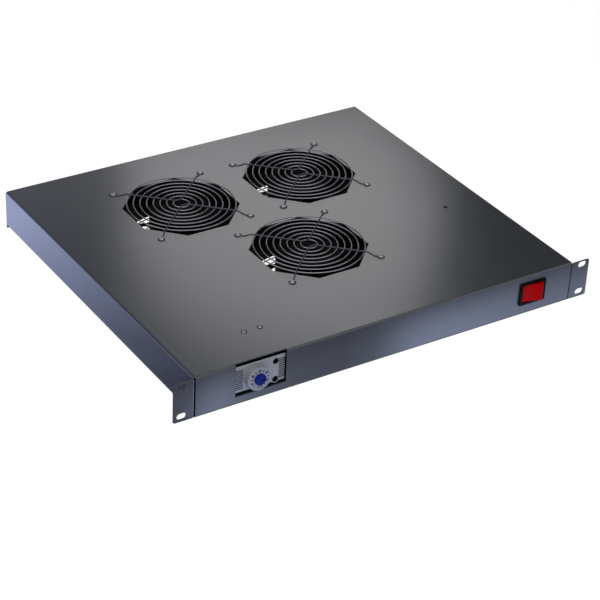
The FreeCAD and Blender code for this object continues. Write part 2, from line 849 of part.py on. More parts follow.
def build_thermostat():
    """Housing, scale, dial, back cover, and the bimetal strip in its contact block."""
    node("thermostat_housing", thermo_housing())
    node("scale_ring", scale_ring())
    node("thermostat_dial", dial())
    front, back, z_mid = thermo_levels()
    reach, inside = thermo_w / 2 - thermo_wall - snug, thermo_h / 2 - thermo_wall - snug
    x0, x1 = thermo_x - reach, thermo_x + reach
    cover_front = back - thermo_cover_t
    node("thermostat_cover", box(x0, x1, cover_front, back, z_mid - inside, z_mid + inside))
    half, strip_y = contact_h / 2, cover_front - contact_d + bimetal_in
    block = box(x0, x0 + contact_w, cover_front - contact_d, cover_front, z_mid - half, z_mid + half)
    thick, wide = bimetal_t / 2, bimetal_w / 2
    start, end = x0 + contact_wall, x0 + contact_w + past
    slit = box(start, end, strip_y - thick - slit_play, strip_y + thick + slit_play,
               z_mid - wide - slit_play, z_mid + wide + slit_play)
    node("contact_block", block.cut(slit))
    start += slit_play
    strip = box(start, start + bimetal_len, strip_y - thick, strip_y + thick, z_mid - wide, z_mid + wide)
    node("bimetal_strip", strip)
    node("terminal_screws", *[slotted_peg(place) for place in clamp_places()])


def slotted_peg(mouth):
    """A terminal screw low in its well, with a slot across its head."""
    top = mouth.y + clamp_depth - past - clamp_screw_len
    screw = peg(clamp_screw_r, clamp_screw_len, Vector(mouth.x, top, mouth.z), Vector(0, 1, 0))
    half, reach = clamp_slot_w / 2, clamp_screw_r + past
    return screw.cut(box(mouth.x - half, mouth.x + half, top - past, top + clamp_slot_w,
                         mouth.z - reach, mouth.z + reach))


def rivet_places(low, y):
    return [Vector(thermo_x, y, low + rail_len * share) for share in rivet_shares]


def rivet(place):
    """Rivet through rail and angle, place being the rail's inner face on the rivet's axis."""
    along = Vector(0, 1, 0)
    grip = rail_t + angle_t
    return fused([peg(rivet_head_r, rivet_head_h, place - along * rivet_head_h, along),
                  peg(rivet_r, grip, place, along),
                  peg(rivet_head_r, rivet_head_h, place + along * grip, along)])


def rail_section(lip_y, web_y):
    """Top-hat profile, its two lips in front and its crown behind."""
    t, half, crown = rail_t, rail_w / 2, rail_crown / 2
    right = [(crown - t, web_y - t), (crown - t, lip_y), (half, lip_y), (half, lip_y + t), (crown, lip_y + t),
             (crown, web_y)]
    return [(thermo_x + x, y) for x, y in right] + [(thermo_x - x, y) for x, y in reversed(right)]


def build_rail():
    """Top-hat rail standing upright behind the thermostat, on an angle screwed under the top plate."""
    back = thermo_levels()[1]
    lip_y = back + rail_gap
    web_y = lip_y + rail_h
    low = z_under - angle_t - rail_below_angle - rail_len
    rail = prism(xy(rail_section(lip_y, web_y), low), Vector(0, 0, rail_len))
    seat = z_under - angle_t
    foot_y, leg_y, leg_z = web_y + angle_foot, web_y + angle_t, z_under - angle_h
    section = [(web_y, z_under), (foot_y, z_under), (foot_y, seat), (leg_y, seat), (leg_y, leg_z),
               (web_y, leg_z)]
    bends = [bend_r, 0, 0, bend_r - angle_t, 0, 0]
    angle = prism(yz(section, angle_x - angle_w / 2), Vector(angle_w, 0, 0), bends)
    places = rivet_places(low, web_y - rail_t)
    along = Vector(0, 1, 0)
    grip = rail_t + angle_t + 2 * past
    rivet_holes = [bore(rivet_r + snug / 2, grip, place - along * past, along) for place in places]
    screw_holes, screws, nuts = [], [], []
    for x, y in angle_screw_places():
        screw_holes.append(bore(screw_r + hole_play, angle_t + 2 * past, Vector(x, y, seat - past)))
        head = many_sided(screw_side_count, angle_screw_head_r, angle_screw_head_h, Vector(x, y, z_top))
        shank = many_sided(screw_side_count, screw_r, angle_screw_len, Vector(x, y, z_top - angle_screw_len))
        screws.append(fused([head, shank]))
        nuts.append(full_nut(x, y, seat))
    node("din_rail", rail.cut(rivet_holes))
    node("rail_angle", angle.cut(rivet_holes + screw_holes))
    node("rail_rivets", *[rivet(place) for place in places])
    node("angle_screws", *screws)
    node("angle_nuts", *nuts)
    node("rail_clip", rail_clip(back, lip_y))


def full_nut(x, y, top):
    """An M4 nut of full height with its upper face at the given level."""
    nut = many_sided(6, nut_af / 2, full_nut_h, Vector(x, y, top - full_nut_h))
    low = Vector(x, y, top - full_nut_h - past)
    return nut.cut(many_sided(screw_side_count, screw_r + thread_play, full_nut_h + 2 * past, low))


def rail_clip(back, lip_y):
    """The foot on the housing's back that hooks behind both lips of the rail."""
    t, half = clip_t, rail_w / 2 + clip_play
    behind = lip_y + rail_t + clip_play
    inner = rail_crown / 2 + clip_in
    hook = [(half + t, back), (half + t, behind + t), (inner, behind + t), (inner, behind), (half, behind),
            (half, back)]
    low = thermo_levels()[2] - clip_w / 2
    hooks = []
    for side in (-1, 1):
        points = [(thermo_x + side * x, y) for x, y in hook]
        hooks.append(prism(xy(points, low), Vector(0, 0, clip_w)))
    reach = half + t
    bridge = box(thermo_x - reach, thermo_x + reach, back, back + rail_gap - snug, low, low + clip_w)
    return fused(hooks + [bridge])


def build_wiring_cover():
    """Folded sheet that closes the thermostat's bay below and behind, spot-welded at its lip and foot."""
    t, low = wiring_t, z_bot + wiring_lift
    lip_z, foot_z, wall_y, foot_y = low + wiring_lip, z_under - t, wiring_d - t, wiring_d + wiring_foot
    outer = [(0, lip_z), (0, low), (wiring_d, low), (wiring_d, foot_z), (foot_y, foot_z), (foot_y, z_under)]
    inner = [(wall_y, z_under), (wall_y, low + t), (t, low + t), (t, lip_z)]
    bends = [0, bend_r, bend_r, bend_r - t, 0, 0, bend_r, bend_r - t, bend_r - t, 0]
    start = wiring_from_side - x_side
    node("wiring_cover", prism(yz(outer + inner, start), Vector(wiring_w, 0, 0), bends))


# ---------------------------------------------------------------- rocker switch

def rocker_sweep():
    """Radius that the rocker's ends sweep about its pivot."""
    return math.hypot(rocker_half, rocker_tip)


def bezel_opening_w():
    return 2 * (rocker_sweep() + rocker_play)


def switch_cavity_h():
    return rocker_h + 2 * rocker_play


def switch_axis():
    return Vector(switch_x, y_face + pivot_from_face, z_bot + switch_from_bottom)


def switch_frame():
    """Bezel and body in one, with the cavity that the rocker swings in and the holes for its pins."""
    axis = switch_axis()
    x, z = axis.x, axis.z
    inner_w, inner_h = bezel_opening_w(), switch_cavity_h()
    face = y_face - bezel_t
    rounds = [bezel_corner_r] * 4
    bezel = prism(xz(rectangle(x, z, bezel_w, bezel_h), face), Vector(0, bezel_t, 0), rounds)
    outer = rectangle(x, z, inner_w + 2 * switch_wall, inner_h + 2 * switch_wall)
    body = prism(xz(outer, y_face), Vector(0, switch_d, 0))
    swing = rocker_sweep() * math.sin(math.radians(2 * rocker_tilt_deg))
    cavity_d = bezel_t + pivot_from_face + swing + switch_floor_gap
    cavity = prism(xz(rectangle(x, z, inner_w, inner_h), face - past), Vector(0, cavity_d + past, 0))
    pins_h = bezel_h + 2 * past
    pivots = bore(pivot_pin_r + pivot_play, pins_h, Vector(x, axis.y, z - pins_h / 2))
    return fused([bezel, body]).cut([cavity, pivots])


def rocker():
    """Dished rocker on two pivot pins, pressed in at its left end."""
    axis = switch_axis()
    sweep = rocker_sweep()
    dish = rocker_tip - rocker_half * math.tan(math.radians(rocker_dish_deg))
    low = -rocker_skirt
    wide = math.sqrt(sweep ** 2 - low ** 2)

    def at(u, w):
        return Vector(axis.x + u, axis.y - w, axis.z - rocker_h / 2)

    left, middle, right = at(-rocker_half, rocker_tip), at(0, dish), at(rocker_half, rocker_tip)
    edges = [Part.LineSegment(left, middle).toShape(),
             Part.LineSegment(middle, right).toShape(),
             Part.Arc(right, at(sweep, 0), at(wide, low)).toShape(),
             Part.LineSegment(at(wide, low), at(-wide, low)).toShape(),
             Part.Arc(at(-wide, low), at(-sweep, 0), left).toShape()]
    body = Part.Face(Part.Wire(edges)).extrude(Vector(0, 0, rocker_h))
    reach = switch_cavity_h() + 2 * (switch_wall - rocker_play)
    pin = peg(pivot_pin_r, reach, Vector(axis.x, axis.y, axis.z - reach / 2))
    return spun(fused([body, pin]), -rocker_tilt_deg, axis)


def build_switch():
    node("switch_frame", switch_frame())
    node("switch_rocker", rocker())
    back = y_face + switch_d
    z = switch_axis().z
    tabs = []
    for i in (-1, 0, 1):
        x = switch_x + i * switch_tab_pitch
        tabs.append(box(x - tab_t / 2, x + tab_t / 2, back, back + tab_len, z - tab_w / 2, z + tab_w / 2))
    node("switch_tabs", *tabs)


# ---------------------------------------------------------------- mains inlet

def sunk_screw(x, mouth, grow):
    """Countersunk screw along Y with its head flush at the mouth, or the tool for its hole."""
    sink = inlet_screw_head_r - inlet_screw_r
    along = Vector(0, 1, 0)
    head = frustum(inlet_screw_r + grow, inlet_screw_head_r + grow, Vector(x, mouth - sink, 0), along * sink)
    shank = peg(inlet_screw_r + grow, inlet_screw_len - sink, Vector(x, mouth - inlet_screw_len, 0), along)
    return fused([head, shank])


def inlet_shell(mouth):
    """Flange and body with the keyed socket that a mains connector fits."""
    flange = rectangle(inlet_x, 0, inlet_flange_w, inlet_flange_h)
    body = rectangle(inlet_x, 0, inlet_body_w, inlet_body_h)
    solids = [prism(xz(flange, y_back), Vector(0, inlet_flange_t, 0), [inlet_corner_r] * 4),
              prism(xz(body, y_back - inlet_body_d), Vector(0, inlet_body_d, 0))]
    w, h, k = inlet_socket_w / 2, inlet_socket_h / 2, inlet_key
    keyed = [(-w, -h), (w, -h), (w, h - k), (w - k, h), (-w + k, h), (-w, h - k)]
    corners = xz([(inlet_x + x, z) for x, z in keyed], mouth - inlet_socket_d)
    return fused(solids).cut(prism(corners, Vector(0, inlet_socket_d + past, 0)))


def inlet_pin(x, z, floor, grow):
    """One contact with its tail through the socket's floor, or the tool for the tail's slot."""
    half, high = tab_t / 2 + grow, pin_h / 2 + grow
    tail = box(x - half, x + half, y_back - inlet_body_d - tab_len, floor + grow, z - high, z + high)
    if grow:
        return tail
    return fused([tail, box(x - pin_w / 2, x + pin_w / 2, floor, floor + pin_len, z - high, z + high)])


def inlet_nut(x):
    """A nut on the inner face of the rear flange, its axis along Y."""
    nut = many_sided(6, inlet_nut_af / 2, inlet_nut_h, Vector(0, 0, 0))
    nut = nut.cut(bore(inlet_screw_r + thread_play, inlet_nut_h + 2 * past, Vector(0, 0, -past)))
    nut.rotate(Vector(0, 0, 0), Vector(1, 0, 0), 90)
    return moved(nut, x, y_back - sheet_t, 0)


def build_inlet():
    mouth = y_back + inlet_flange_t
    floor = mouth - inlet_socket_d
    pin_places = [(inlet_x - pin_pitch, -pin_step), (inlet_x, pin_step), (inlet_x + pin_pitch, -pin_step)]
    screw_xs = [inlet_x + side * inlet_screw_pitch / 2 for side in (-1, 1)]
    tools = [inlet_pin(x, z, floor, inlet_pin_play) for x, z in pin_places]
    tools += [sunk_screw(x, mouth, inlet_screw_grow) for x in screw_xs]
    node("inlet_housing", inlet_shell(mouth).cut(tools))
    node("inlet_pins", *[inlet_pin(x, z, floor, 0.0) for x, z in pin_places])
    node("inlet_screws", *[sunk_screw(x, mouth, 0.0) for x in screw_xs])
    node("inlet_nuts", *[inlet_nut(x) for x in screw_xs])


# ---------------------------------------------------------------- terminal block and earth stud

def block_pole_places():
    y = y_face + block_from_face
    return [y + (i - (block_pole_count - 1) / 2) * block_pole_pitch for i in range(block_pole_count)]


def block_screw_shape(x, y, grow):
    """Countersunk screw with its head flush in the top plate, or the tool for its hole."""
    head = frustum(block_fix_r + grow, block_fix_head_r + grow, Vector(x, y, z_under), Vector(0, 0, sheet_t))
    shank = peg(block_fix_r + grow, block_fix_len, Vector(x, y, z_under - block_fix_len))
    return fused([head, shank])


def entry(mouth, way):
    """The square wire entry of one terminal, from its mouth inwards."""
    half = block_entry / 2
    x0, x1 = sorted((mouth.x - way * past, mouth.x + way * block_entry_depth))
    return box(x0, x1, mouth.y - half, mouth.y + half, mouth.z - half, mouth.z + half)


def build_block():
    """Strip of screw terminals under the top plate, hung from one countersunk screw."""
    x, y = block_x, y_face + block_from_face
    low, half = z_under - block_h, block_pole_w / 2
    length = (block_pole_count - 1) * block_pole_pitch + block_pole_w
    rib = box(x - block_rib, x + block_rib, y - length / 2, y + length / 2, z_under - block_rib_h, z_under)
    poles, tools, screws = [rib], [], []
    for py in block_pole_places():
        poles.append(box(x - block_w / 2, x + block_w / 2, py - half, py + half, low, z_under))
        for side in (-1, 1):
            mouth = Vector(x + side * block_w / 2, py, z_under - block_entry_drop)
            tools.append(entry(mouth, -side))
            place = Vector(x + side * block_w / 4, py, low)
            up = Vector(0, 0, 1)
            tools.append(bore(block_screw_r + snug, block_screw_depth + past, place - up * past))
            screws.append(peg(block_screw_r, block_screw_h, place + up * (block_screw_depth - block_screw_h)))
    nut_z = z_under - block_rib_h - block_nut_h
    pocket_h = block_h - block_rib_h + past
    tools.append(many_sided(6, block_nut_af / 2 + block_nut_play, pocket_h, Vector(x, y, low - past)))
    tools.append(bore(block_fix_r + block_fix_play, block_h + 2 * past, Vector(x, y, low - past)))
    node("terminal_block", fused(poles).cut(tools))
    node("block_terminal_screws", *screws)
    node("block_screw", block_screw_shape(x, y, 0.0))
    nut = many_sided(6, block_nut_af / 2, block_nut_h, Vector(x, y, nut_z))
    thread = bore(block_fix_r + thread_play, block_nut_h + 2 * past, Vector(x, y, nut_z - past))
    node("block_nut", nut.cut(thread))


def build_earth():
    """Welded stud for the earth lead, with a washer between two nuts."""
    x, y = x_side - earth_from_side, y_back - earth_from_back
    low, washer_z = z_under - earth_stud_len, z_under - full_nut_h - earth_washer_t
    washer = peg(earth_washer_r, earth_washer_t, Vector(x, y, washer_z), flats=inner_flat_count)
    hole = bore(screw_r + thread_play, earth_washer_t + 2 * past, Vector(x, y, washer_z - past))
    node("earth_stud", many_sided(screw_side_count, screw_r, earth_stud_len, Vector(x, y, low)))
    node("earth_washer", washer.cut(hole))
    node("earth_nuts", full_nut(x, y, z_under), full_nut(x, y, washer_z))


for build in (build_tray, build_fans, build_guards, build_thermostat, build_rail, build_wiring_cover,
              build_switch, build_inlet, build_block, build_earth):
    build()

os.makedirs("parts", exist_ok=True)
for name, shape in nodes.items():
    shape.exportStep(os.path.join("parts", name + ".step"))
    solids = shape.Solids
    print(name, len(solids), "solid" if len(solids) == 1 else "solids", round(shape.Volume, 1),
          "valid" if shape.isValid() else "NOT VALID")
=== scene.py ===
import json
from math import cos, pi, radians, sin, sqrt, tan

import bmesh
import bpy
from mathutils import Matrix, Vector


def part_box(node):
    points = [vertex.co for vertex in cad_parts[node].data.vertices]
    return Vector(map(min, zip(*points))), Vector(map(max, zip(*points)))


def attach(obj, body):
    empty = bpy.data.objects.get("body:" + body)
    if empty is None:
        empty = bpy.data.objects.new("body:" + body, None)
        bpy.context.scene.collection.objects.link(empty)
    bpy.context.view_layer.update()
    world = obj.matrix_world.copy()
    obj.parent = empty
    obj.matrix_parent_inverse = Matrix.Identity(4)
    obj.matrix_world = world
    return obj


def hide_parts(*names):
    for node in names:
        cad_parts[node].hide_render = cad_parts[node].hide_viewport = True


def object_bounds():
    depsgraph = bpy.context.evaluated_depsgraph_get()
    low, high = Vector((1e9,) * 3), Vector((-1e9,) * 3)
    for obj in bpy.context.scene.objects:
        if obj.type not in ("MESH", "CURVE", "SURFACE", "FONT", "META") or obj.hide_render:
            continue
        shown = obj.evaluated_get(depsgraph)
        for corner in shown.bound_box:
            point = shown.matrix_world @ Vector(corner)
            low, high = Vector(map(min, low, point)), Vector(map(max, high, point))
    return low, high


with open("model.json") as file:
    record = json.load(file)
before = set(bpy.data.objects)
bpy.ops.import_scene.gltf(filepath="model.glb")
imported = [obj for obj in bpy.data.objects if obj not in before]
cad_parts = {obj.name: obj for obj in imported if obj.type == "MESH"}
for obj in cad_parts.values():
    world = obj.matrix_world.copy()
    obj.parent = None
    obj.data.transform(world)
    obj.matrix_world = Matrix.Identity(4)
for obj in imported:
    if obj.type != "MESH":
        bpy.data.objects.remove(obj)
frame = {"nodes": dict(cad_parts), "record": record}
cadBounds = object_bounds()
mm = 0.001
trayBody = "tray"
fanNumbers = (1, 2, 3)


def hexColour(code):
    # sRGB hex to the linear colour that a shader reads
    values = []
    for i in (1, 3, 5):
        part = int(code[i:i + 2], 16) / 255
        values.append(part / 12.92 if part <= 0.04045 else ((part + 0.055) / 1.055) ** 2.4)
    return (*values, 1.0)


def addNode(tree, kind, values=None, links=None, **settings):
    # one node with its settings, its typed inputs and its links
    node = tree.nodes.new(kind)
    for name, value in settings.items():
        setattr(node, name, value)
    for socket, value in (values or {}).items():
        node.inputs[socket].default_value = value
    for socket, source in (links or {}).items():
        tree.links.new(source, node.inputs[socket])
    return node


def newMaterial(name, colour, roughness):
    # a Principled material and its tree, with the uniform values on the shader's own sockets
    material = bpy.data.materials.new(name)
    material.use_nodes = True
    tree = material.node_tree
    shader = tree.nodes["Principled BSDF"]
    shader.inputs["Base Color"].default_value = hexColour(colour)
    shader.inputs["Roughness"].default_value = roughness
    material.diffuse_color = hexColour(colour)
    return material, tree, shader


def addGrain(tree, shader, look):
    # fine surface texture on object coordinates
    size, height, strength, patch = look["grain"]
    place = addNode(tree, "ShaderNodeTexCoord")
    noise = addNode(tree, "ShaderNodeTexNoise", {"Scale": 1 / (size * mm), "Detail": 3.0, "Roughness": 0.55},
                    {"Vector": place.outputs["Object"]})
    bump = addNode(tree, "ShaderNodeBump", {"Strength": strength, "Distance": height * mm},
                   {"Height": noise.outputs["Fac"]})
    tree.links.new(bump.outputs["Normal"], shader.inputs["Normal"])
    cloud = addNode(tree, "ShaderNodeTexNoise", {"Scale": 1 / (patch * mm), "Detail": 2.0},
                    {"Vector": place.outputs["Object"]})
    low, high = look["spread"]
    rough = addNode(tree, "ShaderNodeMapRange", {"To Min": low, "To Max": high}, {"Value": cloud.outputs["Fac"]})
    tree.links.new(rough.outputs["Result"], shader.inputs["Roughness"])
    dark, light = look["tones"]
    ramp = addNode(tree, "ShaderNodeMix", {"A": hexColour(dark), "B": hexColour(light)},
                   {"Factor": cloud.outputs["Fac"]}, data_type="RGBA")
    tree.links.new(ramp.outputs["Result"], shader.inputs["Base Color"])


# Every finish of the tray: its name, its even values on the shader, and its grain as (size in mm, bump height in mm,
# bump strength, patch size in mm) with the spread of roughness and of colour over the patches. A low specular value
# stands for a matt skin that hides most of the sheen.
finishLooks = {
    # slate-black powder coat over sheet steel: a satin sheen broken by fine orange peel about 0.8 mm across
    "tray_paint": {"name": "slateBlackPowderCoat", "colour": "#404246", "roughness": 0.18, "ior": 1.5,
        "grain": (0.8, 0.004, 0.3, 40), "spread": (0.165, 0.195), "tones": ("#3e4044", "#424448")},
    # black glass-filled PBT of a fan's frame, moulded with a spark-eroded matt skin about 0.5 mm in grain
    "fan_plastic": {"name": "mouldedBlackPbt", "colour": "#050505", "roughness": 0.65, "ior": 1.55,
        "specular": 0.03, "grain": (0.5, 0.02, 0.4, 15), "spread": (0.6, 0.7), "tones": ("#030304", "#060607")},
    # black PBT from a smoother tool, as impellers have, so that the blades catch a thin line of light
    "impeller_plastic": {"name": "polishedBlackPbt", "colour": "#050505", "roughness": 0.52, "ior": 1.55,
        "specular": 0.02, "grain": (0.9, 0.01, 0.2, 12), "spread": (0.48, 0.56), "tones": ("#030304", "#060607")},
    # pressed electrical steel of rotor and stator, dull and slightly blue
    "motor_steel": {"name": "pressedMotorSteel", "colour": "#737579", "roughness": 0.48, "metallic": 1.0,
        "grain": (0.8, 0.02, 0.3, 8), "spread": (0.4, 0.55), "tones": ("#6c6e73", "#7b7d82")},
    # oil-soaked sintered bronze sleeve: fine open grain
    "bearing_bronze": {"name": "sinteredBronze", "colour": "#96723f", "roughness": 0.5, "metallic": 1.0,
        "grain": (0.3, 0.03, 0.5, 3), "spread": (0.45, 0.6), "tones": ("#8c6a3c", "#a07a48")},
    # bright nickel over drawn steel wire: metallic, with faint drawing lines that read as a soft grain
    "guard_wire": {"name": "nickelPlatedWire", "colour": "#8a8c92", "roughness": 0.29, "metallic": 1.0,
        "grain": (0.6, 0.01, 0.15, 5), "spread": (0.24, 0.34), "tones": ("#84868c", "#919298")},
    # blue-passivated zinc on screws and nuts: bright, slightly cloudy metal
    "zinc_steel": {"name": "bluePassivatedZinc", "colour": "#b3b6bb", "roughness": 0.32, "metallic": 1.0,
        "grain": (0.5, 0.01, 0.2, 3), "spread": (0.26, 0.4), "tones": ("#a9adb3", "#bcbfc3")},
    # chemically blackened screws: near-black oxide that still shines a little like the steel under it
    "black_steel": {"name": "blackOxideSteel", "colour": "#222225", "roughness": 0.4, "metallic": 1.0,
        "grain": (0.4, 0.01, 0.2, 2), "spread": (0.34, 0.46), "tones": ("#1d1d20", "#28282b")},
    # sendzimir-galvanised strip of rails and brackets, with soft spangle about 6 mm across
    "rail_steel": {"name": "galvanisedStrip", "colour": "#aeb1b4", "roughness": 0.4, "metallic": 1.0,
        "grain": (1.2, 0.01, 0.2, 6), "spread": (0.32, 0.5), "tones": ("#a3a6a9", "#b9bcbe")},
    # light grey polycarbonate of control gear, with a fine matt moulding texture about 0.4 mm in grain
    "thermostat_plastic": {"name": "lightGreyPolycarbonate", "colour": "#888a90", "roughness": 0.5, "ior": 1.58,
        "grain": (0.4, 0.015, 0.35, 12), "spread": (0.46, 0.54), "tones": ("#84868c", "#8b8d93")},
    # dark blue ABS of the setting knob, lightly polished
    "dial_plastic": {"name": "darkBlueAbs", "colour": "#03176b", "roughness": 0.35, "ior": 1.54,
        "specular": 0.08, "grain": (0.5, 0.01, 0.2, 4), "spread": (0.3, 0.4), "tones": ("#021262", "#041c74")},
    # black polyamide 66 of switch frame, inlet and terminal strips, smooth with a faint flow pattern
    "block_plastic": {"name": "smoothBlackPolyamide", "colour": "#070709", "roughness": 0.34, "ior": 1.53,
        "specular": 0.03, "grain": (0.6, 0.01, 0.2, 6), "spread": (0.3, 0.4), "tones": ("#050506", "#09090b")},
    # bright rolled brass of tabs, pins and contacts
    "contact_brass": {"name": "rolledBrass", "colour": "#d0b062", "roughness": 0.3, "metallic": 1.0,
        "grain": (0.5, 0.01, 0.15, 4), "spread": (0.25, 0.35), "tones": ("#c9a85a", "#d6b86c")},
    # deep red polished polycarbonate of the rocker, slightly clear, so the red stays full in the shade
    "rocker_plastic": {"name": "polishedRedPolycarbonate", "colour": "#9f0101", "roughness": 0.2, "ior": 1.58,
        "specular": 0.03, "grain": (2.0, 0.01, 0.1, 9), "spread": (0.16, 0.24), "tones": ("#980101", "#a60202")},
    # pad-printed dark blue ink of the temperature scale
    "scale_ink": {"name": "padPrintedInk", "colour": "#061052", "roughness": 0.55, "ior": 1.5,
        "grain": (0.3, 0.005, 0.2, 2), "spread": (0.5, 0.6), "tones": ("#040c48", "#08145c")},
    # the same nickel on the thicker leg wire as a darker, duller copy, whose colour paints the shade that falls on the
    # legs
    "leg_wire": {"name": "tarnishedNickelWire", "colour": "#4e4f56", "roughness": 0.36, "metallic": 1.0,
        "grain": (0.6, 0.01, 0.2, 4), "spread": (0.3, 0.42), "tones": ("#484950", "#54555c")},
}
finishLooks["switch_plastic"] = finishLooks["block_plastic"]


def madeFinish(look):
    # one row of the table as a material
    material, tree, shader = newMaterial(look["name"], look["colour"], look["roughness"])
    for key, socket in (("metallic", "Metallic"), ("ior", "IOR"), ("specular", "Specular IOR Level")):
        if key in look:
            shader.inputs[socket].default_value = look[key]
    addGrain(tree, shader, look)
    return material


finishes = {slot: madeFinish(look) for slot, look in finishLooks.items()}
slotOf = {part["node"]: part["material_slot"] for part in frame["record"]["subparts"]}
bodyOf = {node: body for body, nodes in frame["record"]["behaviour"]["bodies"].items() for node in nodes}
for nodeName, cadPiece in frame["nodes"].items():
    cadPiece.data.materials.clear()
    cadPiece.data.materials.append(finishes[slotOf[nodeName]])
print("finishes ready")


def newPiece(name, mesh, material, smoothAngle=35):
    # an object at the origin whose place is in its mesh, smooth apart from its sharp edges
    mesh.name = name
    if not mesh.materials:
        mesh.materials.append(material)
    if smoothAngle:
        for face in mesh.polygons:
            face.use_smooth = True
        mesh.set_sharp_from_angle(angle=radians(smoothAngle))
    piece = bpy.data.objects.new(name, mesh)
    bpy.context.scene.collection.objects.link(piece)
    return piece


def standFor(piece, *nodes):
    # the piece takes the place of these CAD nodes and moves with their body
    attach(piece, bodyOf[nodes[0]])
    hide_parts(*nodes)
    return piece


def newTree(name, **inputs):
    # a Geometry Nodes tree with one geometry in and out, and the given inputs named by their kind of socket
    tree = bpy.data.node_groups.new(name, "GeometryNodeTree")
    kinds = [("Geometry", "Geometry")] + [(label, kind) for kind, labels in inputs.items() for label in labels]
    for label, kind in kinds:
        tree.interface.new_socket(label, in_out="INPUT", socket_type="NodeSocket" + kind)
    tree.interface.new_socket("Geometry", in_out="OUTPUT", socket_type="NodeSocketGeometry")
    return tree, addNode(tree, "NodeGroupInput").outputs


def coated(tree, geometry, material):
    # the geometry with its instances realised and one material on it
    real = addNode(tree, "GeometryNodeRealizeInstances", links={0: geometry})
    return addNode(tree, "GeometryNodeSetMaterial", links={0: real.outputs[0], "Material": material}).outputs[0]


def evaluatedMesh(piece):
    # the result of a piece's modifiers as a plain mesh, and the piece itself removed
    bpy.context.view_layer.update()
    graph = bpy.context.evaluated_depsgraph_get()
    mesh = bpy.data.meshes.new_from_object(piece.evaluated_get(graph), depsgraph=graph)
    bpy.data.objects.remove(piece)
    return mesh


def meshFrom(form):
    mesh = bpy.data.meshes.new("form")
    form.to_mesh(mesh)
    form.free()
    return mesh


def looseObject(mesh, name="form"):
    holder = bpy.data.objects.new(name, mesh)
    bpy.context.scene.collection.objects.link(holder)
    return holder


def closedMesh(form):
    # the form as a mesh whose faces all look outwards
    bmesh.ops.recalc_face_normals(form, faces=form.faces)
    return meshFrom(form)


def joinedMesh(*meshes):
    form = bmesh.new()
    for mesh in meshes:
        form.from_mesh(mesh)
    return meshFrom(form)


# Broken edges: vertices merged within a distance in mm, flat faces joined and edges rounded by angles in degrees.
easeSettings = {"merge": 0.002, "flatAngle": 0.5, "edgeAngle": 40, "segments": 2, "weight": 100}


def easedCopy(nodeName, edge):
    # a merged copy of a CAD node with its sharp edges broken by a small radius, in mm
    e = easeSettings
    form = bmesh.new()
    form.from_mesh(frame["nodes"][nodeName].data)
    bmesh.ops.remove_doubles(form, verts=form.verts, dist=e["merge"] * mm)
    bmesh.ops.dissolve_limit(form, angle_limit=radians(e["flatAngle"]), verts=form.verts, edges=form.edges,
                             use_dissolve_boundaries=False)
    holder = looseObject(meshFrom(form))
    bevel = holder.modifiers.new("edge", "BEVEL")
    bevel.width = edge * mm
    bevel.segments = e["segments"]
    bevel.limit_method = "ANGLE"
    bevel.angle_limit = radians(e["edgeAngle"])
    holder.modifiers.new("evenFaces", "WEIGHTED_NORMAL").weight = e["weight"]   # broad faces stay flat to the eye
    for face in holder.data.polygons:
        face.use_smooth = True
    mesh = evaluatedMesh(holder)
    mesh.materials.clear()
    piece = newPiece(nodeName + "Eased", mesh, finishes[slotOf[nodeName]], smoothAngle=None)
    return standFor(piece, nodeName)


def revolve(form, outline, steps, centre=Vector((0, 0, 0)), turn=Matrix.Identity(3)):
    # turns a closed outline of (radius, height) pairs in metres about Z; a point on the axis becomes a pole
    rings = []
    for radius, height in outline:
        if radius < 1e-7:
            rings.append([form.verts.new(centre + turn @ Vector((0, 0, height)))])
            continue
        circle = [Vector((x, y, height)) for x, y in circlePoints(radius, steps)]
        rings.append([form.verts.new(centre + turn @ point) for point in circle])
    for near, far in zip(rings, rings[1:] + rings[:1]):
        if len(near) == 1 and len(far) == 1:
            continue
        for i in range(steps):
            j = (i + 1) % steps
            corners = [near[i % len(near)], near[j % len(near)], far[j % len(far)], far[i % len(far)]]
            form.faces.new(list(dict.fromkeys(corners)))


def roundedCorner(centre, radius, start, steps):
    points = []
    for i in range(steps + 1):
        angle = start + pi / 2 * i / steps
        points.append((centre[0] + radius * cos(angle), centre[1] + radius * sin(angle)))
    return points


def fanCentre(number):
    low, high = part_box(f"fan_frame_{number}")
    return (low + high) / 2


def translated(mesh, offset):
    copy = mesh.copy()
    copy.transform(Matrix.Translation(offset))
    return copy


# Finger guard: rings under two V-shaped legs whose ends close into screw loops. Here and in the settings below,
# lengths are in mm and angles in degrees, and a share is a part of the size it belongs to.
guardSizes = {"rings": 8, "firstRadius": 8.5, "lastRadius": 57.0, "ringWire": 1.35, "legWire": 1.65, "loopRadius": 3.2,
              "holePitch": 105.0, "apexGap": 6.1, "bend": 3.0, "ringSteps": 96, "wireSteps": 10,
              "footHeight": 0.9, "weldSink": 0.35, "topReach": 5.2, "bottomReach": 4.0, "loopTurn": 330,
              "loopSteps": 18, "footRun": 3.5, "rampRun": 10.5, "apexShare": 0.55, "bendSteps": 5}


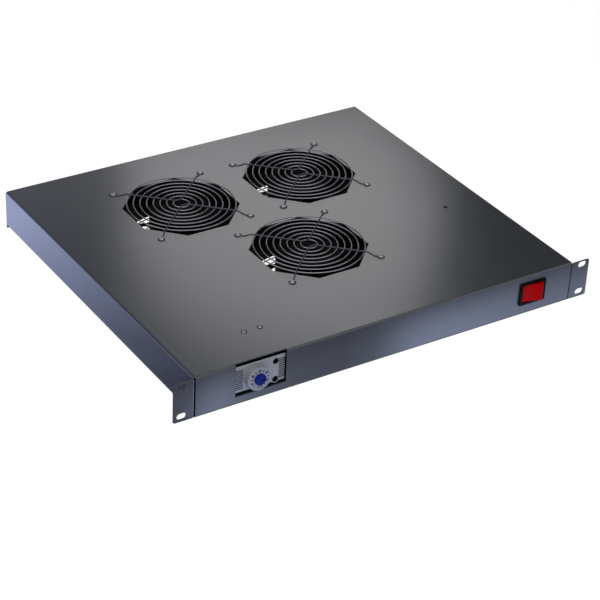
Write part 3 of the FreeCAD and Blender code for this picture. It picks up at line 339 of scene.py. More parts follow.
def legRoute(side, reach):
    # one wire from loop to loop: round the screw, up over the rings, past the middle and down again
    g = guardSizes
    far = g["holePitch"] / 2 * sqrt(2)
    foot, over = g["footHeight"], reach - g["legWire"] / 2
    diagonal = sqrt(0.5)
    points = []
    for i in range(g["loopSteps"] + 1):
        angle = radians(g["loopTurn"]) * i / g["loopSteps"]
        points.append((far - g["loopRadius"] * cos(angle), -g["loopRadius"] * sin(angle), foot))
    points.reverse()
    points += [(far - g["loopRadius"] - g["footRun"], 0, foot), (far - g["loopRadius"] - g["rampRun"], 0, over)]
    right = [((x + y) * diagonal, (x - y) * diagonal, z) for x, y, z in points]
    right.append((g["apexGap"] * g["apexShare"], g["apexGap"], over))
    left = [(-x, y, z) for x, y, z in reversed(right)]
    return [Vector((x, y * side, z)) * mm for x, y, z in right + left]


def guardTree():
    # Geometry Nodes: rings spaced evenly from the first to the last radius, and the legs swept from their routes
    tree, given = newTree("fingerGuard", Float=("First radius", "Last radius", "Ring wire radius", "Leg wire radius",
                                                "Ring height", "Bend radius"),
                          Int=("Rings",), Material=("Ring material", "Leg material"))
    place = addNode(tree, "ShaderNodeCombineXYZ", links={"Z": given["Ring height"]})
    line = addNode(tree, "GeometryNodeMeshLine", {"Offset": (0, 0, 0)},
                   {"Count": given["Rings"], "Start Location": place.outputs[0]})
    last = addNode(tree, "ShaderNodeMath", {1: 1.0}, {0: given["Rings"]}, operation="SUBTRACT")
    index = addNode(tree, "GeometryNodeInputIndex")
    radius = addNode(tree, "ShaderNodeMapRange", links={
        "Value": index.outputs[0], "From Max": last.outputs[0],
        "To Min": given["First radius"], "To Max": given["Last radius"]})
    spread = addNode(tree, "ShaderNodeCombineXYZ", {"Z": 1.0},
                     {"X": radius.outputs["Result"], "Y": radius.outputs["Result"]})
    circle = addNode(tree, "GeometryNodeCurvePrimitiveCircle", {"Resolution": guardSizes["ringSteps"], "Radius": 1.0})
    rings = addNode(tree, "GeometryNodeInstanceOnPoints", links={
        "Points": line.outputs[0], "Instance": circle.outputs[0], "Scale": spread.outputs[0]})
    ringCurves = addNode(tree, "GeometryNodeRealizeInstances", links={0: rings.outputs[0]})
    ringSection = addNode(tree, "GeometryNodeCurvePrimitiveCircle", {"Resolution": guardSizes["wireSteps"]},
                          {"Radius": given["Ring wire radius"]})
    ringMesh = addNode(tree, "GeometryNodeCurveToMesh",
                       links={"Curve": ringCurves.outputs[0], "Profile Curve": ringSection.outputs[0]})
    legCurves = addNode(tree, "GeometryNodeMeshToCurve", links={"Mesh": given["Geometry"]})
    rounded = addNode(tree, "GeometryNodeFilletCurve", {"Count": guardSizes["bendSteps"], "Limit Radius": True},
                      {"Curve": legCurves.outputs[0], "Radius": given["Bend radius"]}, mode="POLY")
    legSection = addNode(tree, "GeometryNodeCurvePrimitiveCircle", {"Resolution": guardSizes["wireSteps"] + 2},
                         {"Radius": given["Leg wire radius"]})
    legMesh = addNode(tree, "GeometryNodeCurveToMesh", {"Fill Caps": True},
                      {"Curve": rounded.outputs[0], "Profile Curve": legSection.outputs[0]})
    both = addNode(tree, "GeometryNodeJoinGeometry")
    for wire, finish in ((ringMesh, "Ring material"), (legMesh, "Leg material")):
        tree.links.new(coated(tree, wire.outputs[0], given[finish]), both.inputs[0])
    addNode(tree, "NodeGroupOutput", links={0: both.outputs[0]})
    return tree


def runTree(base, tree, values):
    # sets the named inputs by their sockets' identifiers, then turns the result into a plain mesh
    modifier = base.modifiers.new(tree.name, "NODES")
    modifier.node_group = tree
    for item in tree.interface.items_tree:
        if item.in_out == "INPUT" and item.name in values:
            modifier[item.identifier] = values[item.name]
    return evaluatedMesh(base)


def guardMesh(tree, reach):
    # reach is the height of the legs' upper side over the plate; the rings are sunk a little into them where welded
    g = guardSizes
    ringHeight = reach - g["legWire"] + g["weldSink"] - g["ringWire"] / 2
    form = bmesh.new()
    for side in (-1, 1):
        corners = [form.verts.new(point) for point in legRoute(side, reach)]
        for near, far in zip(corners, corners[1:]):
            form.edges.new((near, far))
    return runTree(looseObject(meshFrom(form)), tree, {
        "First radius": g["firstRadius"] * mm, "Last radius": g["lastRadius"] * mm,
        "Ring wire radius": g["ringWire"] / 2 * mm, "Leg wire radius": g["legWire"] / 2 * mm,
        "Ring height": ringHeight * mm, "Bend radius": g["bend"] * mm, "Rings": g["rings"],
        "Ring material": finishes["guard_wire"], "Leg material": finishes["leg_wire"]})


def buildGuards():
    tree = guardTree()
    upper = guardMesh(tree, guardSizes["topReach"])
    lower = guardMesh(tree, guardSizes["bottomReach"])
    lower.transform(Matrix.Diagonal((1, -1, -1, 1)))   # turned over, as the same guard is below the fan
    for number in fanNumbers:
        centre = fanCentre(number)
        seats = {"top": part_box(f"guard_top_{number}")[0].z, "bottom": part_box(f"guard_bottom_{number}")[1].z}
        for place, mesh in (("top", upper), ("bottom", lower)):
            copy = translated(mesh, (centre.x, centre.y, seats[place]))
            piece = newPiece(f"{place}Guard{number}", copy, finishes["guard_wire"], smoothAngle=60)
            piece.visible_glossy = False   # the orange peel is too coarse to mirror thin wire
            standFor(piece, f"guard_{place}_{number}")


buildGuards()
print("finger guards made")


# Fan frame: two flanges on a round duct with a flared mouth, and a motor base on three struts.
frameSizes = {"ductRadius": 57.5, "ductWall": 2.2, "flangeThick": 5.0, "cornerRadius": 7.0, "holeRadius": 2.3,
              "holePitch": 105.0, "edge": 0.5, "steps": 128, "mouthFlare": 2.6, "mouthDepth": 4.5,
              "baseRadius": 30.0, "baseThick": 3.0, "struts": 3, "strutWidth": 8.0, "strutThick": 4.0,
              "tubeRadius": 7.5, "mouthSteps": 6, "lowerEase": 0.4, "lowerLip": 0.2, "collar": 0.6, "collarShare": 0.9,
              "overlap": 0.3, "baseSteps": 64, "tubeSteps": 32, "tubeSunk": 1, "holeSteps": 20, "cornerSteps": 8,
              "merge": 0.001, "firstStrut": 90, "strutRoots": (2, 1), "strutLift": 0.02, "strutShoulder": 0.6}


def flatPlate(outlines, thickness, edge):
    # a plate with holes from flat outlines, its edges eased
    curve = bpy.data.curves.new("plate", "CURVE")
    curve.dimensions = "2D"
    curve.fill_mode = "BOTH"
    curve.extrude = thickness / 2 - edge
    curve.bevel_depth = edge
    curve.bevel_resolution = 1
    curve.offset = -edge
    for outline in outlines:
        spline = curve.splines.new("POLY")
        spline.points.add(len(outline) - 1)
        spline.use_cyclic_u = True
        for point, (x, y) in zip(spline.points, outline):
            point.co = (x, y, 0, 1)
    return evaluatedMesh(looseObject(curve))


def circlePoints(radius, steps, x=0.0, y=0.0):
    return [(x + radius * cos(2 * pi * i / steps), y + radius * sin(2 * pi * i / steps)) for i in range(steps)]


def squarePoints(width, radius):
    inner = width / 2 - radius
    points = []
    for i, (sx, sy) in enumerate(((1, 1), (-1, 1), (-1, -1), (1, -1))):
        points += roundedCorner((sx * inner, sy * inner), radius, i * pi / 2, frameSizes["cornerSteps"])
    return points


def fanFrameMesh():
    s = frameSizes
    low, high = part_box("fan_frame_1")
    half, width = (high.z - low.z) / 2, high.x - low.x
    wallOuter = (s["ductRadius"] + s["ductWall"]) * mm
    form = bmesh.new()
    r, flare, deep = s["ductRadius"] * mm, s["mouthFlare"] * mm, s["mouthDepth"] * mm
    ease, collar, flange = s["lowerEase"] * mm, wallOuter + s["collar"] * mm, s["flangeThick"] * mm
    outline = [(r, -half + ease)]
    for i in range(s["mouthSteps"] + 1):
        angle = pi / 2 * i / s["mouthSteps"]
        outline.append((r + flare * (1 - cos(angle)), half - deep + deep * sin(angle)))
    outline += [(collar, half), (collar, half - flange * s["collarShare"]), (wallOuter, half - flange),
                (wallOuter, -half + s["lowerLip"] * mm), (r + ease, -half)]
    revolve(form, outline, s["steps"])
    base, thick, edge = s["baseRadius"] * mm, s["baseThick"] * mm, s["edge"] * mm
    disc = [(0, -half), (base - edge, -half), (base, -half + edge), (base, -half + thick - edge),
            (base - edge, -half + thick), (0, -half + thick)]
    revolve(form, disc, s["baseSteps"])
    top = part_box("shaft_bearings")[1].z - (low.z + high.z) / 2
    tube, foot = s["tubeRadius"] * mm, -half + s["tubeSunk"] * mm
    revolve(form, [(0, foot), (tube, foot), (tube, top), (0, top)], s["tubeSteps"])
    for i in range(s["struts"]):
        addStrut(form, radians(s["firstStrut"] + i * 360 / s["struts"]), half)
    body = closedMesh(form)
    hole = s["holePitch"] / 2 * mm
    outlines = [squarePoints(width, s["cornerRadius"] * mm), circlePoints(wallOuter - s["overlap"] * mm, s["steps"])]
    outlines += [circlePoints(s["holeRadius"] * mm, s["holeSteps"], sx * hole, sy * hole)
                 for sx in (-1, 1) for sy in (-1, 1)]
    plate = flatPlate(outlines, flange, s["edge"] * mm)
    joined = bmesh.new()
    joined.from_mesh(body)
    for side in (-1, 1):
        joined.from_mesh(translated(plate, (0, 0, side * (half - flange / 2))))
    bmesh.ops.remove_doubles(joined, verts=joined.verts, dist=s["merge"] * mm)
    return meshFrom(joined)


def addStrut(form, angle, half):
    # one strut from the motor base to the duct, a bar with chamfered upper edges
    s = frameSizes
    width, thick = s["strutWidth"] / 2 * mm, s["strutThick"] * mm
    start, end = (s["baseRadius"] - s["strutRoots"][0]) * mm, (s["ductRadius"] + s["strutRoots"][1]) * mm
    under, shoulder, crown = -half + s["strutLift"] * mm, -half + thick * s["strutShoulder"], width * s["strutShoulder"]
    section = [(-width, under), (width, under), (width, shoulder), (crown, -half + thick),
               (-crown, -half + thick), (-width, shoulder)]
    turn = Matrix.Rotation(angle, 3, "Z")
    rings = [[form.verts.new(turn @ Vector((x, y, z))) for y, z in section] for x in (start, end)]
    for i in range(len(section)):
        j = (i + 1) % len(section)
        form.faces.new((rings[0][i], rings[0][j], rings[1][j], rings[1][i]))
    form.faces.new(rings[0][::-1])
    form.faces.new(rings[1])


def buildFanFrames():
    mesh = fanFrameMesh()
    for number in fanNumbers:
        piece = newPiece(f"fanFrame{number}", translated(mesh, fanCentre(number)), finishes["fan_plastic"])
        standFor(piece, f"fan_frame_{number}")


buildFanFrames()
print("fan frames made")


# Impeller: a hub cup with a turned-over rim and seven cambered, twisted blades.
impellerSizes = {"blades": 7, "hubRadius": 33.5, "hubWall": 2.0, "rim": 2.2, "tipRadius": 55.9, "bladeThick": 2.0,
                 "bladeRise": 26.0, "pitch": 31.5, "firstAngle": 8.4, "along": 14, "across": 8, "camber": 1.4,
                 "dish": 0.8, "steps": 112, "rootSunk": 0.8, "endShare": 0.35, "swell": 0.65, "skew": 0.7,
                 "fullness": 0.8, "tipThinning": 0.25, "riseEase": 2.2, "rimSteps": 6,
                 "ringShares": (0.72, 0.68, 0.3, 0.26), "bossDip": 0.2}


def bladeMesh():
    # one blade as a closed form: a helical sheet with camber, thickest a third of the way along and thin at its ends
    s = impellerSizes
    middle = (s["hubRadius"] + s["tipRadius"]) / 2
    lead = 2 * pi * middle * tan(radians(s["pitch"]))
    span = s["bladeRise"] / lead * 2 * pi
    sunk, m, n = s["rootSunk"], s["along"], s["across"]
    form = bmesh.new()
    layers = {}
    for side in (-1, 1):
        for i in range(m + 1):
            for j in range(n + 1):
                share, out = i / m, j / n
                radius = s["hubRadius"] - sunk + (s["tipRadius"] - s["hubRadius"] + sunk) * out
                angle = radians(s["firstAngle"]) + (share - 0.5) * span
                bulge = sin(pi * share ** s["skew"]) ** s["fullness"]
                thick = s["bladeThick"] / 2 * (s["endShare"] + s["swell"] * bulge)
                thick *= 1 - s["tipThinning"] * out
                height = (share - 0.5) * (s["bladeRise"] - s["riseEase"]) + s["camber"] * sin(pi * share)
                z = height + side * thick / cos(radians(s["pitch"]))
                point = Vector((radius * cos(angle), radius * sin(angle), z)) * mm
                layers[side, i, j] = form.verts.new(point)
    for side in (-1, 1):
        for i in range(m):
            for j in range(n):
                corners = ((i, j), (i + 1, j), (i + 1, j + 1), (i, j + 1))
                form.faces.new([layers[side, a, b] for a, b in corners])
    border = [(i, 0) for i in range(m)] + [(m, j) for j in range(n)]
    border += [(i, n) for i in range(m, 0, -1)] + [(0, j) for j in range(n, 0, -1)]
    for (a, b), (c, d) in zip(border, border[1:] + border[:1]):
        form.faces.new((layers[-1, a, b], layers[-1, c, d], layers[1, c, d], layers[1, a, b]))
    return closedMesh(form)


def bladeRingTree():
    # Geometry Nodes: copies of one blade turned evenly about the shaft
    tree, given = newTree("bladeRing", Int=("Blades",), Material=("Material",))
    line = addNode(tree, "GeometryNodeMeshLine", {"Offset": (0, 0, 0)}, {"Count": given["Blades"]})
    step = addNode(tree, "ShaderNodeMath", {0: 2 * pi}, {1: given["Blades"]}, operation="DIVIDE")
    index = addNode(tree, "GeometryNodeInputIndex")
    angle = addNode(tree, "ShaderNodeMath", links={0: index.outputs[0], 1: step.outputs[0]}, operation="MULTIPLY")
    turn = addNode(tree, "ShaderNodeCombineXYZ", links={"Z": angle.outputs[0]})
    rotation = addNode(tree, "FunctionNodeEulerToRotation", links={0: turn.outputs[0]})
    blades = addNode(tree, "GeometryNodeInstanceOnPoints", links={
        "Points": line.outputs[0], "Instance": given["Geometry"], "Rotation": rotation.outputs[0]})
    addNode(tree, "NodeGroupOutput", links={0: coated(tree, blades.outputs[0], given["Material"])})
    return tree


def hubMesh(height):
    # a cup open below, its top edge rolled over and its top very slightly dished round a raised ring
    s = impellerSizes
    r, rim, wall, half = s["hubRadius"] * mm, s["rim"] * mm, s["hubWall"] * mm, height / 2
    rimOut, rimIn, bossOut, bossIn = [r * share for share in s["ringShares"]]
    dish, dip = half - s["dish"] * mm, half - s["bossDip"] * mm
    outline = [(r - wall, -half), (r, -half)] + roundedCorner((r - rim, half - rim), rim, 0, s["rimSteps"])
    outline += [(rimOut, half), (rimIn, dish), (bossOut, dish), (bossIn, dip), (0, dip), (0, half - wall),
                (r - wall, half - wall)]
    form = bmesh.new()
    revolve(form, outline, s["steps"])
    return closedMesh(form)


def buildImpellers():
    low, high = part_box("impeller_1")
    hub = hubMesh(high.z - low.z)
    blades = runTree(looseObject(bladeMesh()), bladeRingTree(),
                     {"Blades": impellerSizes["blades"], "Material": finishes["impeller_plastic"]})
    whole = joinedMesh(hub, blades)
    for number in fanNumbers:
        low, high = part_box(f"impeller_{number}")
        centre = fanCentre(number)
        copy = translated(whole, (centre.x, centre.y, (low.z + high.z) / 2))
        copy.materials.clear()
        piece = newPiece(f"impellerWheel{number}", copy, finishes["impeller_plastic"])
        standFor(piece, f"impeller_{number}")


buildImpellers()
print("impellers made")


# Pan-head screws: a domed head with a cross recess on a plain shank.
screwSizes = {"headRadius": 2.5, "headHeight": 0.9, "shankRadius": 1.95, "length": 45.0, "crossWidth": 0.28,
              "crossReach": 0.55, "crossDepth": 0.9, "steps": 32, "railHeadRadius": 2.2, "railHeadHeight": 0.8,
              "railLength": 8.0, "washerRadius": 3.0, "washerThick": 0.35, "tipChamfer": (0.3, 0.4), "domeSteps": 7,
              "rimShare": 0.28, "domeShare": 0.72, "flatShare": 0.42, "roundShare": 0.58}


def panHead(length, headRadius, headHeight, shankRadius):
    # head and shank as one turned form with the seat of the head at height 0, and the cross cut into it
    s = screwSizes
    r, h, shank = headRadius * mm, headHeight * mm, shankRadius * mm
    inset, rise = s["tipChamfer"]
    outline = [(0, -length), (shank - inset * mm, -length), (shank, -length + rise * mm), (shank, 0), (r, 0),
               (r, h * s["rimShare"])]
    for i in range(1, s["domeSteps"]):
        angle = pi / 2 * i / s["domeSteps"]
        outline.append((r * (s["flatShare"] + s["roundShare"] * cos(angle)),
                        h * (s["rimShare"] + s["domeShare"] * sin(angle))))
    outline += [(r * s["flatShare"], h), (0, h)]
    form = bmesh.new()
    revolve(form, outline, s["steps"])
    screw = looseObject(closedMesh(form))
    form = bmesh.new()
    width, reach, deep = s["crossWidth"] * r, s["crossReach"] * r, s["crossDepth"] * mm
    for turn in (0, pi / 2):
        spin = Matrix.Rotation(turn, 4, "Z")
        place = spin @ Matrix.Translation((0, 0, h)) @ Matrix.Diagonal((2 * reach, width, 2 * deep, 1))
        bmesh.ops.create_cube(form, size=1.0, matrix=place)
    cutter = looseObject(meshFrom(form))
    cut = screw.modifiers.new("cross", "BOOLEAN")
    cut.object = cutter
    cut.operation = "DIFFERENCE"
    cut.solver = "EXACT"
    cut.use_self = True
    mesh = evaluatedMesh(screw)
    bpy.data.objects.remove(cutter)
    return mesh


def scatterTree():
    # Geometry Nodes: one copy of the piece on every point, each turned by its own fixed amount
    tree, given = newTree("onPoints", Object=("Piece",), Material=("Material",), Int=("Seed",), Float=("Most turn",))
    shape = addNode(tree, "GeometryNodeObjectInfo", links={"Object": given["Piece"]})
    most = addNode(tree, "ShaderNodeCombineXYZ", links={"Z": given["Most turn"]})
    spin = addNode(tree, "FunctionNodeRandomValue", {0: (0, 0, 0)}, {"Seed": given["Seed"], 1: most.outputs[0]},
                   data_type="FLOAT_VECTOR")
    rotation = addNode(tree, "FunctionNodeEulerToRotation", links={0: spin.outputs[0]})
    copies = addNode(tree, "GeometryNodeInstanceOnPoints", links={
        "Points": given["Geometry"], "Instance": shape.outputs["Geometry"], "Rotation": rotation.outputs[0]})
    addNode(tree, "NodeGroupOutput", links={0: coated(tree, copies.outputs[0], given["Material"])})
    return tree


def onPoints(tree, mesh, points, material, seed=0, mostTurn=0.0):
    template = looseObject(mesh)
    form = bmesh.new()
    for point in points:
        form.verts.new(point)
    result = runTree(looseObject(meshFrom(form)), tree, {
        "Piece": template, "Material": material, "Seed": seed, "Most turn": mostTurn})
    bpy.data.objects.remove(template)
    return result


def screwCorners(number, height):
    centre, half = fanCentre(number), guardSizes["holePitch"] / 2 * mm
    return [Vector((centre.x + sx * half, centre.y + sy * half, height)) for sx in (-1, 1) for sy in (-1, 1)]


def buildScrews():
    s, zinc, turn = screwSizes, finishes["zinc_steel"], 2 * pi   # clamp screws are plain zinc
    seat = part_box("chassis")[1].z + (guardSizes["footHeight"] + guardSizes["legWire"] / 2) * mm   # on the loops
    points = [corner for number in fanNumbers for corner in screwCorners(number, seat)]
    screw = panHead(s["length"] * mm, s["headRadius"], s["headHeight"], s["shankRadius"])
    mesh = onPoints(pointTree, screw, points, zinc, seed=3, mostTurn=turn)
    screws = standFor(newPiece("guardScrewSet", mesh, zinc, smoothAngle=30), "guard_screws")
    screws.visible_glossy = False
    low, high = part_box("angle_screws")
    seat, radius = high.z - s["railHeadHeight"] * mm, (high.y - low.y) / 2
    points = [Vector((x, (low.y + high.y) / 2, seat)) for x in (low.x + radius, high.x - radius)]
    black = finishes["black_steel"]
    # The heads are bright zinc on black washers: the zinc is a painted highlight standing in for the glint of blackened
    # screws.
    head = panHead(s["railLength"] * mm, s["railHeadRadius"], s["railHeadHeight"], s["shankRadius"])
    heads = onPoints(pointTree, head, points, zinc, seed=5, mostTurn=turn)
    inner, outer, thick = s["railHeadRadius"] * mm, s["washerRadius"] * mm, s["washerThick"] * mm
    form = bmesh.new()
    revolve(form, [(inner, 0), (outer, 0), (outer, thick), (inner, thick)], s["steps"])
    washers = onPoints(pointTree, closedMesh(form), points, black)
    for made, slotNumber in ((heads, 0), (washers, 1)):
        for face in made.polygons:
            face.material_index = slotNumber
    mesh = joinedMesh(heads, washers)
    mesh.materials.append(zinc)
    mesh.materials.append(black)
    standFor(newPiece("railScrewPair", mesh, black, smoothAngle=30), "angle_screws")


pointTree = scatterTree()
buildScrews()
print("screws made")


# Pieces whose CAD form is right and only need broken edges, with the edge radius of each.
easedEdges = {"chassis": 0.12, "thermostat_housing": 0.12, "switch_frame": 0.4, "switch_rocker": 0.6,
              "inlet_housing": 0.4, "terminal_block": 0.3, "din_rail": 0.2, "rail_angle": 0.3, "guard_nuts": 0.25,
              "angle_nuts": 0.25, "earth_nuts": 0.25, "inlet_nuts": 0.2, "thermostat_dial": 0.3, "rail_clip": 0.2,
              "wiring_cover": 0.3}
for nodeName, edge in easedEdges.items():
    easedCopy(nodeName, edge)
print("eased edges made")


# Small scene-only pieces: black bars in the thermostat's vents, black liners in its screw wells, a black sheet over its
# top in the closed bay and black fillers in the slits beside the ears, all painted shade, and welded rear corner seams.
# The face depth is that of the housing's flat face behind its collar's front.
ventSizes = {"count": 11, "pitch": 2.05, "high": 1.08, "leftLong": 13.48, "rightLong": 7.98, "end": 0.3, "sunk": 0.04,
             "deep": 1.2, "faceDepth": 7.5}
shadeSizes = {"front": 0.6, "deep": 25.0, "lift": 0.03, "thick": 0.25}
wellSizes = {"x": -130.7, "heights": (8.75, -11.25), "outer": 3.0, "inner": 2.75, "depth": 5.5, "thick": 0.4,
             "start": 0.2, "steps": 24}
seamSizes = {"from": 217.7, "to": 219.1, "front": -1.0, "back": -0.1, "below": 2.2, "rearTo": 219.7, "rearDeep": 1.9,
             "rearIn": 0.25, "lift": 0.1}


def block(form, low, high):
    size = high - low
    bmesh.ops.create_cube(form, size=1.0, matrix=Matrix.Translation((low + high) / 2) @ Matrix.Diagonal((*size, 1)))


def sizedBlock(*sizes):
    form = bmesh.new()
    bmesh.ops.create_cube(form, size=1.0, matrix=Matrix.Diagonal((*sizes, 1)))
    return meshFrom(form)


def paintedShadePiece(name, mesh):
    piece = newPiece(name, mesh, finishes["block_plastic"])
    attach(piece, trayBody)


def buildVentShadeBars():
    # a black bar in every slot of both rows, a little behind the housing's face: painted shade inside the slots
    s = ventSizes
    low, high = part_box("thermostat_housing")
    y, middle = low.y + s["faceDepth"] * mm + (s["sunk"] + s["deep"] / 2) * mm, (low.z + high.z) / 2
    rows = []
    for side, length in ((-1, s["leftLong"]), (1, s["rightLong"])):
        inner = (length + s["end"]) / 2 * mm
        x = low.x + inner if side < 0 else high.x - inner
        points = [Vector((x, y, middle + (i - (s["count"] - 1) / 2) * s["pitch"] * mm)) for i in range(s["count"])]
        bar = sizedBlock((length - s["end"]) * mm, s["deep"] * mm, s["high"] * mm)
        rows.append(onPoints(pointTree, bar, points, finishes["block_plastic"]))
    paintedShadePiece("ventBars", joinedMesh(*rows))


def buildShadeLiners():
    # a black sheet over the housing's top and black liners in its two screw wells: painted shade of the closed bay and
    # of the wells
    s, w = shadeSizes, wellSizes
    low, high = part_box("thermostat_housing")
    face, middle = low.y + ventSizes["faceDepth"] * mm, (low.z + high.z) / 2
    form = bmesh.new()
    block(form, Vector((low.x, face + s["front"] * mm, high.z + s["lift"] * mm)),
          Vector((high.x, face + s["deep"] * mm, high.z + (s["lift"] + s["thick"]) * mm)))
    turn = Matrix.Rotation(radians(-90), 3, "X")   # the liners' own Z runs back along +Y
    inner, outer, start, end = w["inner"] * mm, w["outer"] * mm, w["start"] * mm, w["depth"] * mm
    floor = end - w["thick"] * mm
    for height in w["heights"]:
        outline = [(inner, start), (outer, start), (outer, end), (0, end), (0, floor), (inner, floor)]
        revolve(form, outline, w["steps"], Vector((w["x"] * mm, face, middle + height * mm)), turn)
    paintedShadePiece("bayShadeAndWells", closedMesh(form))


def cornerPair(inside, outside, front, back):
    # a block at each end of the tray, from inside to outside along X, and from front to back along Y
    s = seamSizes
    low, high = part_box("chassis")
    form = bmesh.new()
    for side in (-1, 1):
        x0, x1 = sorted((side * inside * mm, side * outside * mm))
        block(form, Vector((x0, front, low.z + s["lift"] * mm)), Vector((x1, back, high.z - s["below"] * mm)))
    return meshFrom(form)


def buildSeams():
    s, rear = seamSizes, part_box("chassis")[1].y
    # black fillers in the slits beside the ears are painted shade; the rear corners get welds in the tray's own paint
    paintedShadePiece("earSlitSeals", cornerPair(s["from"], s["to"], s["front"] * mm, s["back"] * mm))
    welds = cornerPair(s["from"], s["rearTo"], rear - s["rearDeep"] * mm, rear - s["rearIn"] * mm)
    piece = newPiece("rearCornerWelds", welds, finishes["tray_paint"])
    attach(piece, trayBody)


buildVentShadeBars()
buildShadeLiners()
buildSeams()
print("liners and seams made")


# Temperature scale printed round the dial: plain numbers with a tick between each pair.
scaleSizes = {"numbers": ("0", "10", "20", "30", "40", "50", "60"), "start": 262.0, "sweep": 344.0, "radius": 8.8,
              "height": 3.1, "tick": (1.0, 2.3), "thick": 0.06, "bold": 0.2}


def scaleMark(text, size):
    curve = bpy.data.curves.new("mark", "FONT")
    curve.body = text
    curve.size = size * mm
    curve.align_x = curve.align_y = "CENTER"
    curve.extrude = scaleSizes["thick"] * mm
    curve.offset = scaleSizes["bold"] * mm
    return evaluatedMesh(looseObject(curve))


def tickMark():
    width, length = scaleSizes["tick"]
    return sizedBlock(width * mm, length * mm, 2 * scaleSizes["thick"] * mm)


def buildScale():
    s = scaleSizes
    low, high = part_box("scale_ring")
    centre = (low + high) / 2
    faceFront = Matrix.Rotation(radians(90), 4, "X")   # the marks' own Z turns to face -Y
    count = 2 * len(s["numbers"]) - 1
    marks = []
    for i in range(count):
        angle = radians(s["start"] - s["sweep"] * i / (count - 1))
        mesh = scaleMark(s["numbers"][i // 2], s["height"]) if i % 2 == 0 else tickMark()
        lean = Matrix.Rotation(angle - pi / 2, 4, "Z") if i % 2 else Matrix.Identity(4)
        out = Matrix.Translation((s["radius"] * mm * cos(angle), s["radius"] * mm * sin(angle), 0))
        lift = Matrix.Translation((centre.x, low.y, centre.z))
        mesh.transform(lift @ faceFront @ out @ lean)
        marks.append(mesh)
    piece = newPiece("scalePrint", joinedMesh(*marks), finishes["scale_ink"])
    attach(piece, trayBody)


buildScale()
print("scale printed")


# Studio: white floor and surround, a softbox that the plate mirrors in front of a dark board, fill lamps, and two
# graded cards on the floor that only reflections see, for the tone of the front and the left side.
studio = {"floor": "#ffffff", "floorSize": 8.0, "world": 0.36, "glow": 1.15, "shadowShare": 0.2, "roughness": 0.9,
          "floorDrop": 0.05, "cardLift": 0.05}
panels = {   # mirrored by the plate: corners as (compass angle, rise) from the camera's own mirror image
    "softbox": {"distance": 3.9, "strength": 2.55, "corners": (
        (27.9, 26.2), (35.5, 26.0), (37.2, 27.2), (38.1, 28.4), (38.0, 30.2), (37.6, 31.4), (37.2, 33.6), (34.5, 33.6),
        (31.8, 33.2), (29.9, 32.4), (28.8, 31.6), (27.9, 30.2))},
    "backGlow": {"distance": 4.1, "strength": 0.5, "corners": ((18, 23), (27.8, 23), (27.8, 28.4), (25.5, 29.9),
                                                              (18, 31))}}
boardSizes = {"distance": 4.6, "angles": (-20, 90), "rises": (17, 50), "colour": "#101114", "steps": 8}
fills = {
    "leftFill": {"place": (-0.70, 0.70, 0.10), "aim": (-0.22, 0.34, 0.0), "size": (0.35, 0.25), "power": 5.7,
                 "colour": "#aab4ff"},
    "frontFill": {"place": (0.30, -0.55, 0.08), "aim": (0.10, 0.0, 0.0), "size": (0.45, 0.2), "power": 0.9,
                  "colour": "#cfdbff"},
    "topFill": {"place": (-0.7, -0.9, 1.3), "aim": (0.0, 0.1, 0.0), "size": (0.8, 0.8), "power": 11.0,
                "colour": "#ffffff"}}
cards = {   # glow along one side as (place in m, strength), sheared with the way across, and its share across the card
    "sideCard": {"low": (-0.60, -0.30), "high": (-0.2225, 0.60), "axis": 1, "tint": "#ccd8ff", "shear": 0.0,
                 "stops": ((0.05, 0.08), (0.14, 0.4), (0.23, 1.0), (0.33, 1.8), (0.42, 2.6)),
                 "across": ((-0.60, 1.0), (-0.2225, 1.0))},
    "frontCard": {"low": (-0.30, -0.40), "high": (0.30, -0.0025), "axis": 0, "tint": "#c9d6ff", "shear": 0.735,
                  "stops": ((-0.24, 1.0), (-0.225, 1.7), (-0.21, 3.0), (-0.193, 3.5), (-0.165, 2.2), (-0.13, 1.3),
                            (-0.10, 0.9), (-0.06, 0.75), (-0.02, 1.3), (0.01, 3.0), (0.03, 3.9), (0.06, 4.0),
                            (0.10, 3.7), (0.145, 3.1), (0.195, 2.5), (0.24, 2.3)),
                  "across": ((-0.065, 0.1), (-0.050, 0.33), (-0.043, 0.5), (-0.028, 0.78), (-0.0126, 0.93),
                             (-0.003, 1.0))}}
cameraSettings = {"place": (-0.98934, -1.32428, 1.05152), "turn": (58.3503, -2.4173, -32.1564), "lens": 121.686,
                  "sensor": 36, "reach": 50}


def directRays(tree):
    # 1 for what the camera sees straight, in a mirror or through glass, otherwise 0
    path = addNode(tree, "ShaderNodeLightPath")
    seen = addNode(tree, "ShaderNodeMath", links={0: path.outputs["Is Camera Ray"], 1: path.outputs["Is Glossy Ray"]},
                   operation="MAXIMUM")
    return addNode(tree, "ShaderNodeMath", links={0: seen.outputs[0], 1: path.outputs["Is Transmission Ray"]},
                   operation="MAXIMUM")


def whiteFloor():
    # the floor shows as white to the camera and in reflections, and keeps a soft shadow
    material, tree, shader = newMaterial("whiteStudioFloor", studio["floor"], studio["roughness"])
    glow = addNode(tree, "ShaderNodeEmission", {"Color": (1, 1, 1, 1), "Strength": studio["glow"]})
    share = addNode(tree, "ShaderNodeMath", {1: 1 - studio["shadowShare"]}, {0: directRays(tree).outputs[0]},
                    operation="MULTIPLY")
    mix = addNode(tree, "ShaderNodeMixShader", links={0: share.outputs[0], 1: shader.outputs[0], 2: glow.outputs[0]})
    tree.links.new(mix.outputs[0], tree.nodes["Material Output"].inputs["Surface"])
    form = bmesh.new()
    size = studio["floorSize"]
    bmesh.ops.create_grid(form, x_segments=1, y_segments=1, size=size / 2,
                          matrix=Matrix.Translation((0, 0, cadBounds[0].z - studio["floorDrop"] * mm)))
    floor = looseObject(meshFrom(form), "studioFloor")
    floor.data.materials.append(material)


